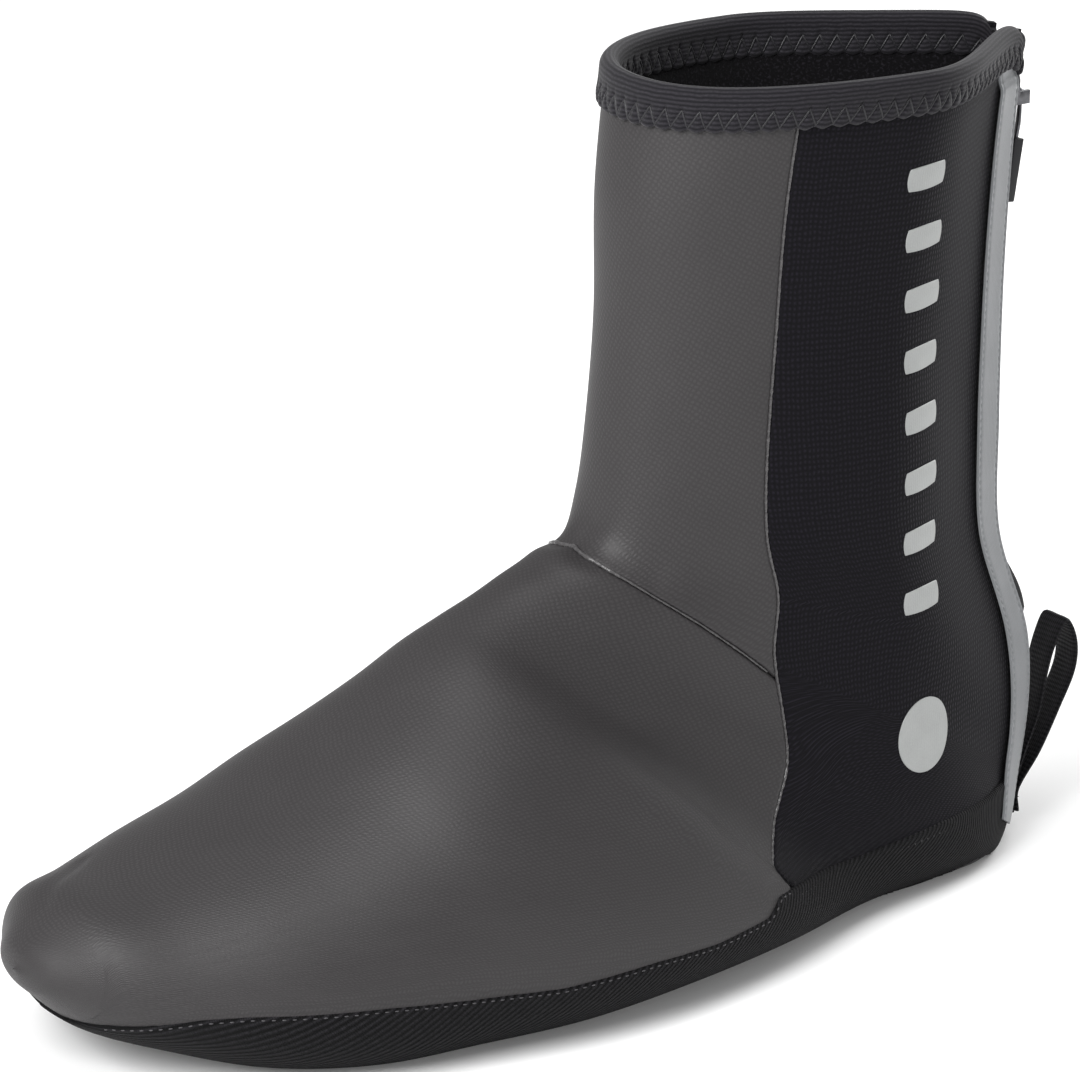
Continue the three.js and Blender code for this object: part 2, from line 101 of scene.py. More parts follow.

# %% [markdown]
# The studio is a white floor, a large soft box at the left in front, which draws the broad sheen on
# the vamp and the toe, and a weaker one from the right, so that the black side isn't lost.

# %% Floor and lights
def soft_box(name, azimuth, height, distance, size, power):
    bpy.ops.object.light_add(type="AREA", location=(0, 0, 0))
    lamp = bpy.context.object
    lamp.name = name
    lamp.data.shape = "DISK"
    lamp.data.size = size
    lamp.data.energy = power
    turn, rise = math.radians(azimuth), math.radians(height)
    away = Vector((
        math.sin(turn) * math.cos(rise),
        -math.cos(turn) * math.cos(rise),
        math.sin(rise),
    ))
    lamp.location = aim + away * distance
    lamp.rotation_euler = (-away).to_track_quat("-Z", "Y").to_euler()
    return lamp


soft_box("key_light", -76, 38, 1.7, 1.2, 36)
soft_box("fill_light", 28, 30, 2.2, 1.6, 1)
soft_box("top_light", -30, 80, 1.6, 1.0, 7)
soft_box("rim_light", 105, 25, 1.5, 0.8, 12)

world = bpy.data.worlds.new("studio")
bpy.context.scene.world = world
world.use_nodes = True
world.node_tree.nodes["Background"].inputs["Color"].default_value = (1, 1, 1, 1)
world.node_tree.nodes["Background"].inputs["Strength"].default_value = 0.46
bpy.context.scene.view_settings.view_transform = "Standard"

bpy.ops.mesh.primitive_plane_add(size=2, location=(0, 0, 0))
floor = bpy.context.object
floor.name = "studio_floor"
bpy.ops.object.mode_set(mode="EDIT")
bpy.ops.transform.resize(value=(12, 12, 1))
bpy.ops.object.mode_set(mode="OBJECT")
floor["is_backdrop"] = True

# %% [markdown]
# Every material is built from the same small pieces: a principled shader whose colour, roughness
# and bump come from patterns. One function adds a node, sets it up and links it. Colours are
# written as sRGB hex values, as a colour picker shows them, and turned to linear light here.

# %% Material helpers
def linear(hex_colour):
    channels = [int(hex_colour[i : i + 2], 16) / 255 for i in (1, 3, 5)]
    return [c / 12.92 if c <= 0.04045 else ((c + 0.055) / 1.055) ** 2.4 for c in channels] + [1]


def add_node(tree, kind, inputs=None, **settings):
    """Adds a node. Inputs are by name or number, each a value or the output socket to link."""
    node = tree.nodes.new(kind)
    for name, value in settings.items():
        setattr(node, name, value)
    for key, value in (inputs or {}).items():
        if isinstance(value, bpy.types.NodeSocket):
            tree.links.new(value, node.inputs[key])
        else:
            node.inputs[key].default_value = value
    return node


def new_material(name, **shader_inputs):
    """A material with a principled shader. Returns the material, its tree and the shader."""
    material = bpy.data.materials.new(name)
    material.use_nodes = True
    tree = material.node_tree
    shader = tree.nodes["Principled BSDF"]
    for key, value in shader_inputs.items():
        shader.inputs[key.replace("_", " ")].default_value = value
    return material, tree, shader


# A wave texture of scale 1 repeats after this length, in the coordinates' units
WAVE_PERIOD = math.pi / 10


def cloth_ribs(tree, coordinates, pitch, turn, distortion=0.3):
    """Parallel ribs of a real pitch, turned by some degrees in the cloth. Returns 0 to 1."""
    turned = add_node(
        tree, "ShaderNodeMapping", {"Vector": coordinates, "Rotation": (0, 0, math.radians(turn))},
    )
    return add_node(
        tree, "ShaderNodeTexWave",
        {
            "Vector": turned.outputs[0], "Scale": WAVE_PERIOD / pitch, "Distortion": distortion,
            "Detail": 1, "Detail Scale": 1,
        },
        wave_type="BANDS", bands_direction="X",
    ).outputs["Fac"]


floor_paint, tree, shader = new_material(
    "matte_white_paint", Base_Color=linear("#f8f8f8"), Roughness=0.9, Specular_IOR_Level=0.1,
    Emission_Color=(1, 1, 1, 1), Emission_Strength=0.08,
)
floor.data.materials.append(floor_paint)

# %% [markdown]
# The real overshoe is sewn over a last, so its shape is worked out once, as a function. A fan of
# sections runs from the collar over the ankle to the toe. Each row of the table holds a section's
# front point and back point, in shares of the length and the height, its half widths in shares of
# the ball's width, and how round it is. `place` runs along the rows, and `angle` round a section: 0
# on the shin, a quarter turn on the outer side and a half turn at the back or under the foot.

# %% The last
BOOT_LENGTH = 300 * MM
BOOT_HEIGHT = 226 * MM
BALL_WIDTH = 115 * MM
ZIP_SLOT = 11 * MM
FLANK_SLOPE = 0.8


def table_of(text):
    """Reads a table with named columns. Returns one array for each column."""
    names, *rows = [line.split() for line in text.strip().splitlines()]
    first = 1 if names[0] == "name" else 0
    return {
        name: np.array([float(row[i]) for row in rows])
        for i, name in enumerate(names)
        if i >= first
    }


SECTIONS = table_of("""
name  front_forward front_up back_forward back_up outer inner shift widest pinch back_round front_round sink seam
collar  0.406 1.000  0.003 1.000  0.365 0.365  0.000 0.50  1.0  2.00 2.10  0      57
calf    0.422 0.860  0.013 0.850  0.325 0.330  0.000 0.50  1.0  2.00 2.10  0      59
shin    0.425 0.720  0.019 0.690  0.305 0.310  0.000 0.50  1.0  2.00 2.10  0      59
ankle   0.435 0.600  0.019 0.530  0.300 0.300  0.000 0.49  1.0  2.00 2.10  0      59
bend    0.446 0.520  0.016 0.390  0.295 0.300  0.000 0.48  1.0  2.00 2.10  0      61
crease  0.466 0.480 -0.021 0.250  0.290 0.295  0.000 0.46  1.0  2.00 2.10  0      64
instep  0.499 0.463 -0.017 0.110  0.280 0.285  0.000 0.43  0.6  2.00 2.10  0      67
saddle  0.529 0.450  0.014 0.010  0.280 0.285  0.000 0.38  0.1  2.10 2.10  0.010  71
heel    0.558 0.434  0.069 0.000  0.295 0.290  0.000 0.32  0.0  2.30 2.10  0.020  74
shank   0.589 0.417  0.200 0.004  0.335 0.310  0.000 0.28  0.0  2.60 2.10  0.020  82
waist   0.622 0.395  0.320 0.008  0.455 0.365 -0.005 0.28  0.0  2.60 2.10  0.020  92
midfoot 0.657 0.362  0.440 0.006  0.515 0.410 -0.010 0.30  0.0  2.60 2.15  0.020 104
tread   0.694 0.328  0.560 0.000  0.525 0.450 -0.010 0.32  0.0  2.60 2.20  0.020 178
ball    0.734 0.291  0.665 0.000  0.510 0.470  0.010 0.34  0.0  2.60 2.20  0.020 178
joint   0.784 0.253  0.755 0.000  0.470 0.470  0.015 0.36  0.0  2.60 2.20  0.018 178
toes    0.841 0.223  0.835 0.009  0.410 0.430  0.030 0.40  0.0  2.50 2.20  0.014 178
toebox  0.899 0.195  0.905 0.032  0.320 0.350  0.050 0.44  0.0  2.40 2.20  0.008 178
toecap  0.947 0.185  0.952 0.048  0.235 0.260  0.065 0.48  0.0  2.20 2.20  0     178
nose    0.976 0.160  0.983 0.084  0.135 0.145  0.065 0.50  0.0  2.00 2.00  0     178
bead    0.993 0.141  0.9945 0.100 0.075 0.080  0.065 0.50  0.0  2.00 2.00  0     178
tip     1.000 0.120  1.000 0.120  0.000 0.000  0.065 0.50  0.0  2.00 2.00  0     178
""")
LAST_ROW = len(SECTIONS["seam"]) - 1


def column(name, place):
    """A smooth curve through one column of the table, where 0 is the first row."""
    values = SECTIONS[name]
    padded = np.concatenate([
        [2 * values[0] - values[1]], values, [2 * values[-1] - values[-2]],
    ])
    place = np.asarray(place, float)
    i = np.clip(np.floor(place).astype(int), 0, LAST_ROW - 1)
    t = place - i
    a, b, c, d = (padded[i + k] for k in range(4))
    return (
        (2 * t**3 - 3 * t**2 + 1) * b
        + (t**3 - 2 * t**2 + t) * (c - a) / 2
        + (3 * t**2 - 2 * t**3) * c
        + (t**3 - t**2) * (d - b) / 2
    )


def outside(place, angle):
    """Points of the outside, for arrays of places and angles."""
    place, angle = np.broadcast_arrays(np.asarray(place, float), np.asarray(angle, float))
    front = np.stack([
        column("front_forward", place) * BOOT_LENGTH, column("front_up", place) * BOOT_HEIGHT,
    ], -1)
    back = np.stack([
        column("back_forward", place) * BOOT_LENGTH, column("back_up", place) * BOOT_HEIGHT,
    ], -1)
    sole_up = back[..., 1]
    chord = back - front
    length = np.maximum(np.linalg.norm(chord, axis=-1), 1e-9)
    back = back + chord * (column("sink", place) * BOOT_HEIGHT / length)[..., None]
    c, s = np.cos(angle), np.sin(angle)
    s = np.where(np.abs(s) < 1e-9, 0, s)
    power = np.where(c < 0, column("back_round", place), column("front_round", place))
    along = np.sign(c) * np.abs(c) ** (2 / power)
    around = np.abs(s) ** (2 / power)
    half = np.where(s > 0, column("outer", place), column("inner", place)) * BALL_WIDTH
    widest = column("widest", place)
    share = np.where(along < 0, widest * (1 + along), widest + (1 - widest) * along)
    point = back + (front - back) * share[..., None]
    pinch = np.where((c < 0) & (around > 0), column("pinch", place), 0)
    edge = ZIP_SLOT / 2 / np.maximum(half, 1e-6)
    t = 1 + np.minimum(along, 0)
    flank = FLANK_SLOPE * (t**3 - 2 * t**2 + t) + 3 * t**2 - 2 * t**3
    pinched = edge + (1 - edge) * flank
    across = np.where(pinch > 0, around + pinch * (pinched - around), around)
    y = column("shift", place) * BALL_WIDTH - half * across * np.sign(s)
    x = toe_x + BOOT_LENGTH - point[..., 0]
    return np.stack([x, y + middle_y, np.maximum(point[..., 1], sole_up)], -1)


def outward(place, angle):
    """The outward normals of the outside, from small steps along it."""
    step = 0.02
    place, angle = np.broadcast_arrays(np.asarray(place, float), np.asarray(angle, float))
    before, after = np.maximum(place - step, 0), np.minimum(place + step, LAST_ROW - step)
    along = outside(after, angle) - outside(before, angle)
    # The two flanks aren't joined at the zip, so no step crosses from one to the other
    most = np.where(np.abs(angle) < math.pi - 1e-5, math.pi - 1e-5, 3 * math.pi)
    around = outside(place, np.minimum(angle + step, most))
    around -= outside(place, np.maximum(angle - step, -most))
    normal = np.cross(along, around)
    return normal / np.maximum(np.linalg.norm(normal, axis=-1), 1e-12)[..., None]


girth = outside(np.full(200, 13.0), np.linspace(0, 2 * math.pi, 200))
print("widest at the ball:", round(float(np.ptp(girth[:, 1])) / MM, 1), "mm")

# %% [markdown]
# Three lines on the last part the panels. The side seam runs down from the collar between the grey
# front and the black side. The instep seam crosses from one side seam to the other. The lap line is
# where the sole's cloth ends, and it is drawn in side view. For each place the functions below give
# the angle at which a section meets each line.

# %% Seam lines
LAP = table_of("""
forward up
-0.100  0.090
0.067   0.089
0.147   0.093
0.250   0.088
0.372   0.097
0.390   0.081
0.457   0.077
0.523   0.081
0.620   0.079
0.663   0.083
0.765   0.091
0.870   0.092
0.903   0.088
0.953   0.071
0.968   0.055
0.975   0.030
0.978   -0.050
""")
INSTEP = table_of("""
across place
0.00   5.06
0.25   5.30
0.46   5.57
0.62   5.80
0.77   6.00
0.90   6.22
1.00   6.42
""")
HALVINGS = 26


def seam_angle(place):
    return np.radians(column("seam", place))


def instep_place(across):
    return np.interp(np.abs(across), INSTEP["across"], INSTEP["place"])


def above_lap(points):
    """How far points are above the lap line, in metres."""
    forward = (toe_x + BOOT_LENGTH - points[..., 0]) / BOOT_LENGTH
    return points[..., 2] - np.interp(forward, LAP["forward"], LAP["up"]) * BOOT_HEIGHT


def angle_where(is_before, place, side, low):
    """By halving, the angle on a side (1 outer, -1 inner) from low up to which is_before holds."""
    low = np.full(np.shape(place), low, float)
    high = np.full(np.shape(place), math.pi)
    for _ in range(HALVINGS):
        middle = (low + high) / 2
        before = is_before(outside(place, side * middle))
        low, high = np.where(before, middle, low), np.where(before, high, middle)
    return high


def is_above_lap(points):
    return above_lap(points) > 0


def is_past_zip(points):
    return np.abs(points[..., 1] - middle_y) > ZIP_SLOT / 2


# Worked out once for many places, and read between them after that
MANY_PLACES = np.linspace(0, LAST_ROW, 1201)
LIMITS = {}
for side in (1, -1):
    LIMITS["lap", side] = angle_where(is_above_lap, MANY_PLACES, side, 0)
    # The flanks stop at the slot's edge, just short of a half turn
    LIMITS["zip", side] = np.where(
        MANY_PLACES < 8, angle_where(is_past_zip, MANY_PLACES, side, math.pi / 2) - 0.001, math.pi,
    )


def limit(name, side, place):
    return np.interp(place, MANY_PLACES, LIMITS[name, side])


# The place where the side seam meets the lap line, and where the lap line crosses the heel and toe
NEARLY = 0.085
notch = {
    side: float(MANY_PLACES[np.argmax(LIMITS["lap", side] < seam_angle(MANY_PLACES) + NEARLY)])
    for side in (1, -1)
}


LAP_UNDER = 0.09


def under_sole(side, place):
    """The uppers' lower edge, which reaches a few millimetres under the sole's cloth."""
    return np.minimum(limit("lap", side, place) + LAP_UNDER, math.pi)


def front_edge(side, place):
    """The front panels' edge: the side seam, and under the sole from the notch on."""
    seam, lap = seam_angle(place), under_sole(side, place)
    share = np.clip((place - notch[side]) / 0.1 + 1, 0, 1)
    return seam + share * (lap - seam)


under_lap = np.flatnonzero((LIMITS["lap", 1] < math.pi - 1e-3))
sole_first, sole_last = MANY_PLACES[under_lap[0] - 1], MANY_PLACES[under_lap[-1] + 1]
print("side seam meets the sole at rows", notch, "and the sole runs from", sole_first, "to", sole_last)

# %% [markdown]
# Every panel is a sheet laid on the last. A grid primitive is added, which gives the quads and their
# order, and each of its points is then put on the outside of the boot. The points are closer
# together near the edges, where the cloth rolls in to its seam over little more than a millimetre.
# The grid's UV map is written in metres along the cloth, so a weave has its real size everywhere.

# %% Sheets laid on the last
def closer_at_ends(count, bias):
    """Numbers from -1 to 1, closer together at both ends where bias is near 1."""
    even = np.linspace(-1, 1, count)
    return bias * np.sin(even * math.pi / 2) + (1 - bias) * even


def roll_in(distance, radius):
    """How deep an edge has rolled in, at a distance from it: a quarter circle."""
    d = np.clip(distance, 0, radius)
    return radius - np.sqrt(np.maximum(radius**2 - (radius - d) ** 2, 0))


def path_lengths(points, axis):
    """Length from the start along one axis of a grid of points."""
    steps = np.linalg.norm(np.diff(points, axis=axis), axis=-1)
    start = np.zeros_like(np.take(steps, [0], axis=axis))
    return np.concatenate([start, np.cumsum(steps, axis=axis)], axis=axis)


def line_distances(points, line, finer=8):
    """For each point, the distance to a line of points, and how far along the line that is."""
    share = np.arange(0, len(line) - 1 + 1e-9, 1 / finer)
    dense = np.stack([np.interp(share, np.arange(len(line)), line[:, k]) for k in range(3)], -1)
    along = path_lengths(dense, 0)
    tree = KDTree(len(dense))
    for index, point in enumerate(dense):
        tree.insert(point, index)
    tree.balance()
    found = [tree.find(point) for point in points.reshape(-1, 3)]
    distance = np.array([f[2] for f in found]).reshape(points.shape[:-1])
    return distance, along[[f[1] for f in found]].reshape(points.shape[:-1])


def grid_piece(name, points, uv, outward_normals):
    """A grid primitive whose vertices are put on a grid of points, with its UV map in metres."""
    high, wide = points.shape[:2]
    bpy.ops.mesh.primitive_grid_add(x_subdivisions=wide - 1, y_subdivisions=high - 1, size=2)
    piece = bpy.context.object
    piece.name = piece.data.name = name
    flat = np.zeros(len(piece.data.vertices) * 3)
    piece.data.vertices.foreach_get("co", flat)
    flat = flat.reshape(-1, 3)
    j = np.rint((flat[:, 0] + 1) / 2 * (wide - 1)).astype(int)
    i = np.rint((1 - flat[:, 1]) / 2 * (high - 1)).astype(int)
    piece.data.vertices.foreach_set("co", points[i, j].ravel())
    loop_vertex = np.zeros(len(piece.data.loops), int)
    piece.data.loops.foreach_get("vertex_index", loop_vertex)
    piece.data.uv_layers.active.data.foreach_set("uv", uv[i, j][loop_vertex].ravel())
    piece.data.update()
    some = list(piece.data.polygons)[:: max(len(piece.data.polygons) // 300, 1)]
    vertex_normals = outward_normals[i, j]
    if sum(np.dot(face.normal, vertex_normals[face.vertices[0]]) for face in some) < 0:
        piece.data.flip_normals()
    return piece


def laid_sheet(name, rows, columns, where, lift_of, bias=(0.6, 0.75), seams=()):
    """A sheet laid on the last. where(t, s) gives places and angles, for t from 0 to 1 down the sheet
    and s from -1 to 1 across it. lift_of(points, ways) gives the lift from the surface, where ways
    holds for each seam, start, end, left or right, the distance to it and the length along it."""
    t, s = np.meshgrid(
        (closer_at_ends(rows + 1, bias[0]) + 1) / 2, closer_at_ends(columns + 1, bias[1]),
        indexing="ij",
    )
    place, angle = where(t, s)
    points, normals = outside(place, angle), outward(place, angle)
    borders = {
        "start": (points[0], angle[0]), "end": (points[-1], angle[-1]),
        "left": (points[:, 0], angle[:, 0]), "right": (points[:, -1], angle[:, -1]),
    }
    ways = {}
    for seam in seams:
        line, at = borders[seam]
        ways[seam] = line_distances(points, line[np.abs(np.abs(at) - math.pi) > 0.02])
    across, down = path_lengths(points, 1), path_lengths(points, 0)
    across = across - across[:, columns // 2 : columns // 2 + 1]
    lifted_points = points + normals * lift_of(points, ways)[..., None]
    return grid_piece(name, lifted_points, np.stack([across, down], -1), normals)


def pick(*pieces):
    """Selects only these pieces. The last one is the active one."""
    bpy.ops.object.select_all(action="DESELECT")
    for piece in pieces:
        piece.select_set(True)
    bpy.context.view_layer.objects.active = pieces[-1]


def apply_modifier(piece, kind, **settings):
    bpy.context.view_layer.objects.active = piece
    modifier = piece.modifiers.new(kind.lower(), kind)
    for name, value in settings.items():
        setattr(modifier, name, value)
    bpy.ops.object.modifier_apply(modifier=modifier.name)


def merge_doubles(piece, distance=0.02 * MM):
    pick(piece)
    bpy.ops.object.mode_set(mode="EDIT")
    bpy.ops.mesh.select_all(action="SELECT")
    bpy.ops.mesh.remove_doubles(threshold=distance)
    bpy.ops.object.mode_set(mode="OBJECT")


# %% [markdown]
# A laid sheet gets its cloth from a Solidify modifier, then smooth shading with sharp edges kept.
# At last each piece gets its material, the solids it stands for and its body.

# %% Thickness and finish
def thicken(piece, thickness):
    """Gives a sheet its cloth, inwards from the laid surface, and smooth shading."""
    merge_doubles(piece)
    apply_modifier(piece, "SOLIDIFY", thickness=thickness, offset=-1, use_even_offset=False)
    smooth(piece)


def smooth(piece, angle=50):
    pick(piece)
    bpy.ops.object.shade_smooth_by_angle(angle=math.radians(angle))


def finish_piece(piece, material, body="overshoe", replaces=()):
    """Gives a piece its material, hides the solids it replaces and puts it on its body."""
    piece.data.materials.clear()
    for each in material if isinstance(material, list) else [material]:
        piece.data.materials.append(each)
    if replaces:
        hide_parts(*replaces)
    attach(piece, body)
    triangles = sum(len(face.vertices) - 2 for face in piece.data.polygons)
    print(f"{piece.name}: {triangles} triangles")


# %% [markdown]
# Worn neoprene isn't drum tight. It keeps a few soft creases, mostly round the ankle's bend, and
# slight hollows where nothing fills it. Each is placed as a line between two points on the boot,
# with a width and a depth. Seams pucker as well: their thread draws the cloth in a little at
# every stitch.

# %% Creases and puckers
# Each crease: (place, angle in degrees) at both ends, width and depth in millimetres. A negative
# depth is a ridge.
CREASES = [
    ((4.85, 0), (5.35, 34), 7.0, 1.3),
    ((5.45, 0), (5.85, 34), 5.0, -0.7),
    ((4.5, 10), (4.9, 50), 11.0, 0.9),
    ((4.85, 0), (5.35, -34), 7.0, 1.3),
    ((5.45, 0), (5.85, -34), 5.0, -0.7),
    ((3.2, 30), (3.7, 58), 12.0, 0.5),
    ((5.6, 78), (6.3, 150), 10.0, 0.9),
    ((4.6, 80), (4.9, 140), 13.0, 0.6),
    ((5.6, -78), (6.3, -150), 10.0, 0.9),
    ((1.8, 90), (3.0, 135), 16.0, 0.7),
    ((1.8, -70), (3.0, -135), 16.0, 0.7),
    ((17.4, -11), (15.9, -31), 2.2, 0.55),
    ((9.45, 22), (9.45, 68), 14.0, -1.2),
]


def crease_lift(points):
    """The sum of the creases' lifts at some points."""
    lift = np.zeros(points.shape[:-1])
    for (place_a, angle_a), (place_b, angle_b), width, depth in CREASES:
        share = np.linspace(0, 1, 9)
        line = outside(
            place_a + (place_b - place_a) * share, np.radians(angle_a + (angle_b - angle_a) * share),
        )
        near = np.full(points.shape[:-1], np.inf)
        for a, b in zip(line[:-1], line[1:]):
            along = np.clip(((points - a) @ (b - a)) / ((b - a) @ (b - a)), 0, 1)
            near = np.minimum(near, np.linalg.norm(points - a - along[..., None] * (b - a), axis=-1))
        lift -= depth * MM * np.exp(-((near / (width * MM)) ** 2))
    return lift


def pucker(distance, along, pitch, depth, reach):
    """A seam's small draws, which fade away from it."""
    wave = 0.5 + 0.3 * np.cos(along / pitch * 2 * math.pi) + 0.2 * np.cos(along / pitch * 3.7 + 1)
    return -depth * wave * np.exp(-distance / reach)


EDGE_ROLL = 1.3 * MM


def panel_lift(points, ways):
    """The lift of a panel whose named edges are sewn down."""
    depth = np.zeros(points.shape[:-1])
    draws = np.zeros(points.shape[:-1])
    for distance, along in ways.values():
        depth = np.maximum(depth, roll_in(distance, EDGE_ROLL))
        draws += pucker(distance, along, 3.1 * MM, 0.22 * MM, 2.5 * MM)
    return crease_lift(points) + draws - depth


# %% [markdown]
# The front of the boot is neoprene with a thin rubber coating over its knit. The coat dulls the knit
# to a faint grain and gives the broad, soft sheen that the photograph shows along the vamp. Colour is
# a warm grey, a little uneven, and darker where the grain is deep: painted shade in the grain's pits.

# %% Material: rubber-coated neoprene
def coated_neoprene():
    material, tree, shader = new_material(
        "rubber_coated_neoprene", Roughness=0.5, Specular_IOR_Level=0.35,
    )
    uv = add_node(tree, "ShaderNodeUVMap", uv_map="UVMap").outputs[0]
    grain = cloth_ribs(tree, uv, 1.15 * MM, 62, distortion=4)
    cross = cloth_ribs(tree, uv, 1.25 * MM, -28, distortion=4)
    pits = add_node(tree, "ShaderNodeMath", {0: grain, 1: cross}, operation="MULTIPLY").outputs[0]
    cloud = add_node(
        tree, "ShaderNodeTexNoise",
        {"Vector": uv, "Scale": 1 / (22 * MM), "Detail": 3, "Roughness": 0.6},
    ).outputs["Fac"]
    fine = add_node(
        tree, "ShaderNodeTexNoise",
        {"Vector": uv, "Scale": 1 / (0.7 * MM), "Detail": 2, "Roughness": 0.6},
    ).outputs["Fac"]
    tone = add_node(
        tree, "ShaderNodeMix", {0: cloud, 6: linear("#302e2f"), 7: linear("#393738")}, data_type="RGBA",
    ).outputs[2]
    # Painted shade: the colour darkens to a deeper grey in the grain's pits.
    depth = add_node(
        tree, "ShaderNodeMapRange", {"Value": pits, "From Max": 0.6, "To Min": 0.55, "To Max": 0.0},
    ).outputs[0]
    colour = add_node(
        tree, "ShaderNodeMix", {0: depth, 6: tone, 7: linear("#242223")}, data_type="RGBA",
    ).outputs[2]
    tree.links.new(colour, shader.inputs["Base Color"])
    dull = add_node(
        tree, "ShaderNodeMapRange", {"Value": cloud, "To Min": 0.46, "To Max": 0.58},
    ).outputs[0]
    tree.links.new(dull, shader.inputs["Roughness"])
    height = add_node(
        tree, "ShaderNodeMath", {0: pits, 1: 0.7, 2: fine}, operation="MULTIPLY_ADD",
    ).outputs[0]
    bump = add_node(tree, "ShaderNodeBump", {"Height": height, "Distance": 0.06 * MM, "Strength": 1})
    tree.links.new(bump.outputs[0], shader.inputs["Normal"])
    return material


front_cloth = coated_neoprene()

# %% [markdown]
# The side panels are bare, knit-faced neoprene. The jersey's loops stand in fine columns down the
# boot. Nylon jersey is nearly black with a blue cast, and it has the soft halo at grazing angles
# that fibres give, which is what sheen is for.

# %% Material: knit-faced neoprene
def knit_neoprene():
    material, tree, shader = new_material(
        "knit_faced_neoprene", Roughness=0.82, Specular_IOR_Level=0.12,
        Sheen_Weight=0.05, Sheen_Roughness=0.4,
    )
    uv = add_node(tree, "ShaderNodeUVMap", uv_map="UVMap").outputs[0]
    columns = cloth_ribs(tree, uv, 1.3 * MM, 2, distortion=2.5)
    loops = cloth_ribs(tree, uv, 1.5 * MM, 88, distortion=3.0)
    knit = add_node(tree, "ShaderNodeMath", {0: columns, 1: loops}, operation="MULTIPLY").outputs[0]
    fuzz = add_node(
        tree, "ShaderNodeTexNoise",
        {"Vector": uv, "Scale": 1 / (0.9 * MM), "Detail": 2, "Roughness": 0.6},
    ).outputs["Fac"]
    lit = add_node(tree, "ShaderNodeMath", {0: knit, 1: fuzz}, operation="MULTIPLY").outputs[0]
    colour = add_node(
        tree, "ShaderNodeMix", {0: lit, 6: linear("#0b0a0e"), 7: linear("#24212a")}, data_type="RGBA",
    ).outputs[2]
    tree.links.new(colour, shader.inputs["Base Color"])
    bump = add_node(tree, "ShaderNodeBump", {"Height": knit, "Distance": 0.12 * MM, "Strength": 1})
    tree.links.new(bump.outputs[0], shader.inputs["Normal"])
    return material


side_cloth = knit_neoprene()

# %% [markdown]
# Inside, the neoprene carries a brushed jersey, almost black with grey flecks.

# %% Material: brushed lining
def brushed_lining():
    material, tree, shader = new_material(
        "brushed_lining", Roughness=0.95, Specular_IOR_Level=0.1,
        Sheen_Weight=0.05, Sheen_Roughness=0.6,
    )
    uv = add_node(tree, "ShaderNodeUVMap", uv_map="UVMap").outputs[0]
    fleck = add_node(
        tree, "ShaderNodeTexNoise",
        {"Vector": uv, "Scale": 1 / (0.8 * MM), "Detail": 3, "Roughness": 0.6},
    ).outputs["Fac"]
    share = add_node(
        tree, "ShaderNodeMapRange", {"Value": fleck, "From Min": 0.52, "From Max": 0.72},
    ).outputs[0]
    colour = add_node(
        tree, "ShaderNodeMix", {0: share, 6: linear("#040305"), 7: linear("#232126")},
        data_type="RGBA",
    ).outputs[2]
    tree.links.new(colour, shader.inputs["Base Color"])
    bump = add_node(tree, "ShaderNodeBump", {"Height": fleck, "Distance": 0.3 * MM, "Strength": 1})
    tree.links.new(bump.outputs[0], shader.inputs["Normal"])
    return material


lining_cloth = brushed_lining()

# %% [markdown]
# The sole is a hard-wearing twill with thick diagonal ribs, 1.5 mm apart, which grip when walking.
# Their crests are painted lighter, a painted highlight, and the grooves between stay black, a painted shade.

# %% Material: ribbed sole twill
RIB_PITCH = 1.5 * MM


def sole_twill():
    material, tree, shader = new_material("ribbed_sole_twill", Roughness=0.75, Specular_IOR_Level=0.15)
    uv = add_node(tree, "ShaderNodeUVMap", uv_map="UVMap").outputs[0]
    ribs = cloth_ribs(tree, uv, RIB_PITCH, 45, distortion=0.5)
    yarn = cloth_ribs(tree, uv, 0.7 * MM, -38, distortion=1.0)
    fleck = add_node(
        tree, "ShaderNodeTexNoise",
        {"Vector": uv, "Scale": 1 / (1.1 * MM), "Detail": 2, "Roughness": 0.6},
    ).outputs["Fac"]
    # Painted light and shade: the colour is lighter on the ribs' crests, a painted highlight, and black in the
    # grooves, painted shade.
    painted_rib_light_and_shade = add_node(
        tree, "ShaderNodeMath", {0: ribs, 1: fleck}, operation="MULTIPLY",
    ).outputs[0]
    share = add_node(tree, "ShaderNodeMapRange", {"Value": painted_rib_light_and_shade, "From Min": 0.12, "From Max": 0.6})
    colour = add_node(
        tree, "ShaderNodeMix",
        {0: share.outputs[0], 6: linear("#030304"), 7: linear("#1f1e21")}, data_type="RGBA",
    ).outputs[2]
    tree.links.new(colour, shader.inputs["Base Color"])
    height = add_node(
        tree, "ShaderNodeMath", {0: yarn, 1: 0.2, 2: ribs}, operation="MULTIPLY_ADD",
    ).outputs[0]
    bump = add_node(tree, "ShaderNodeBump", {"Height": height, "Distance": 0.5 * MM, "Strength": 1})
    tree.links.new(bump.outputs[0], shader.inputs["Normal"])
    return material


sole_cloth = sole_twill()

# %% [markdown]
# The binding is stretch tape: a tight elastane jersey with fine ribs along it, dull black, with a
# little fibre halo on its rounded rim. The same finish does for the heel's tape.

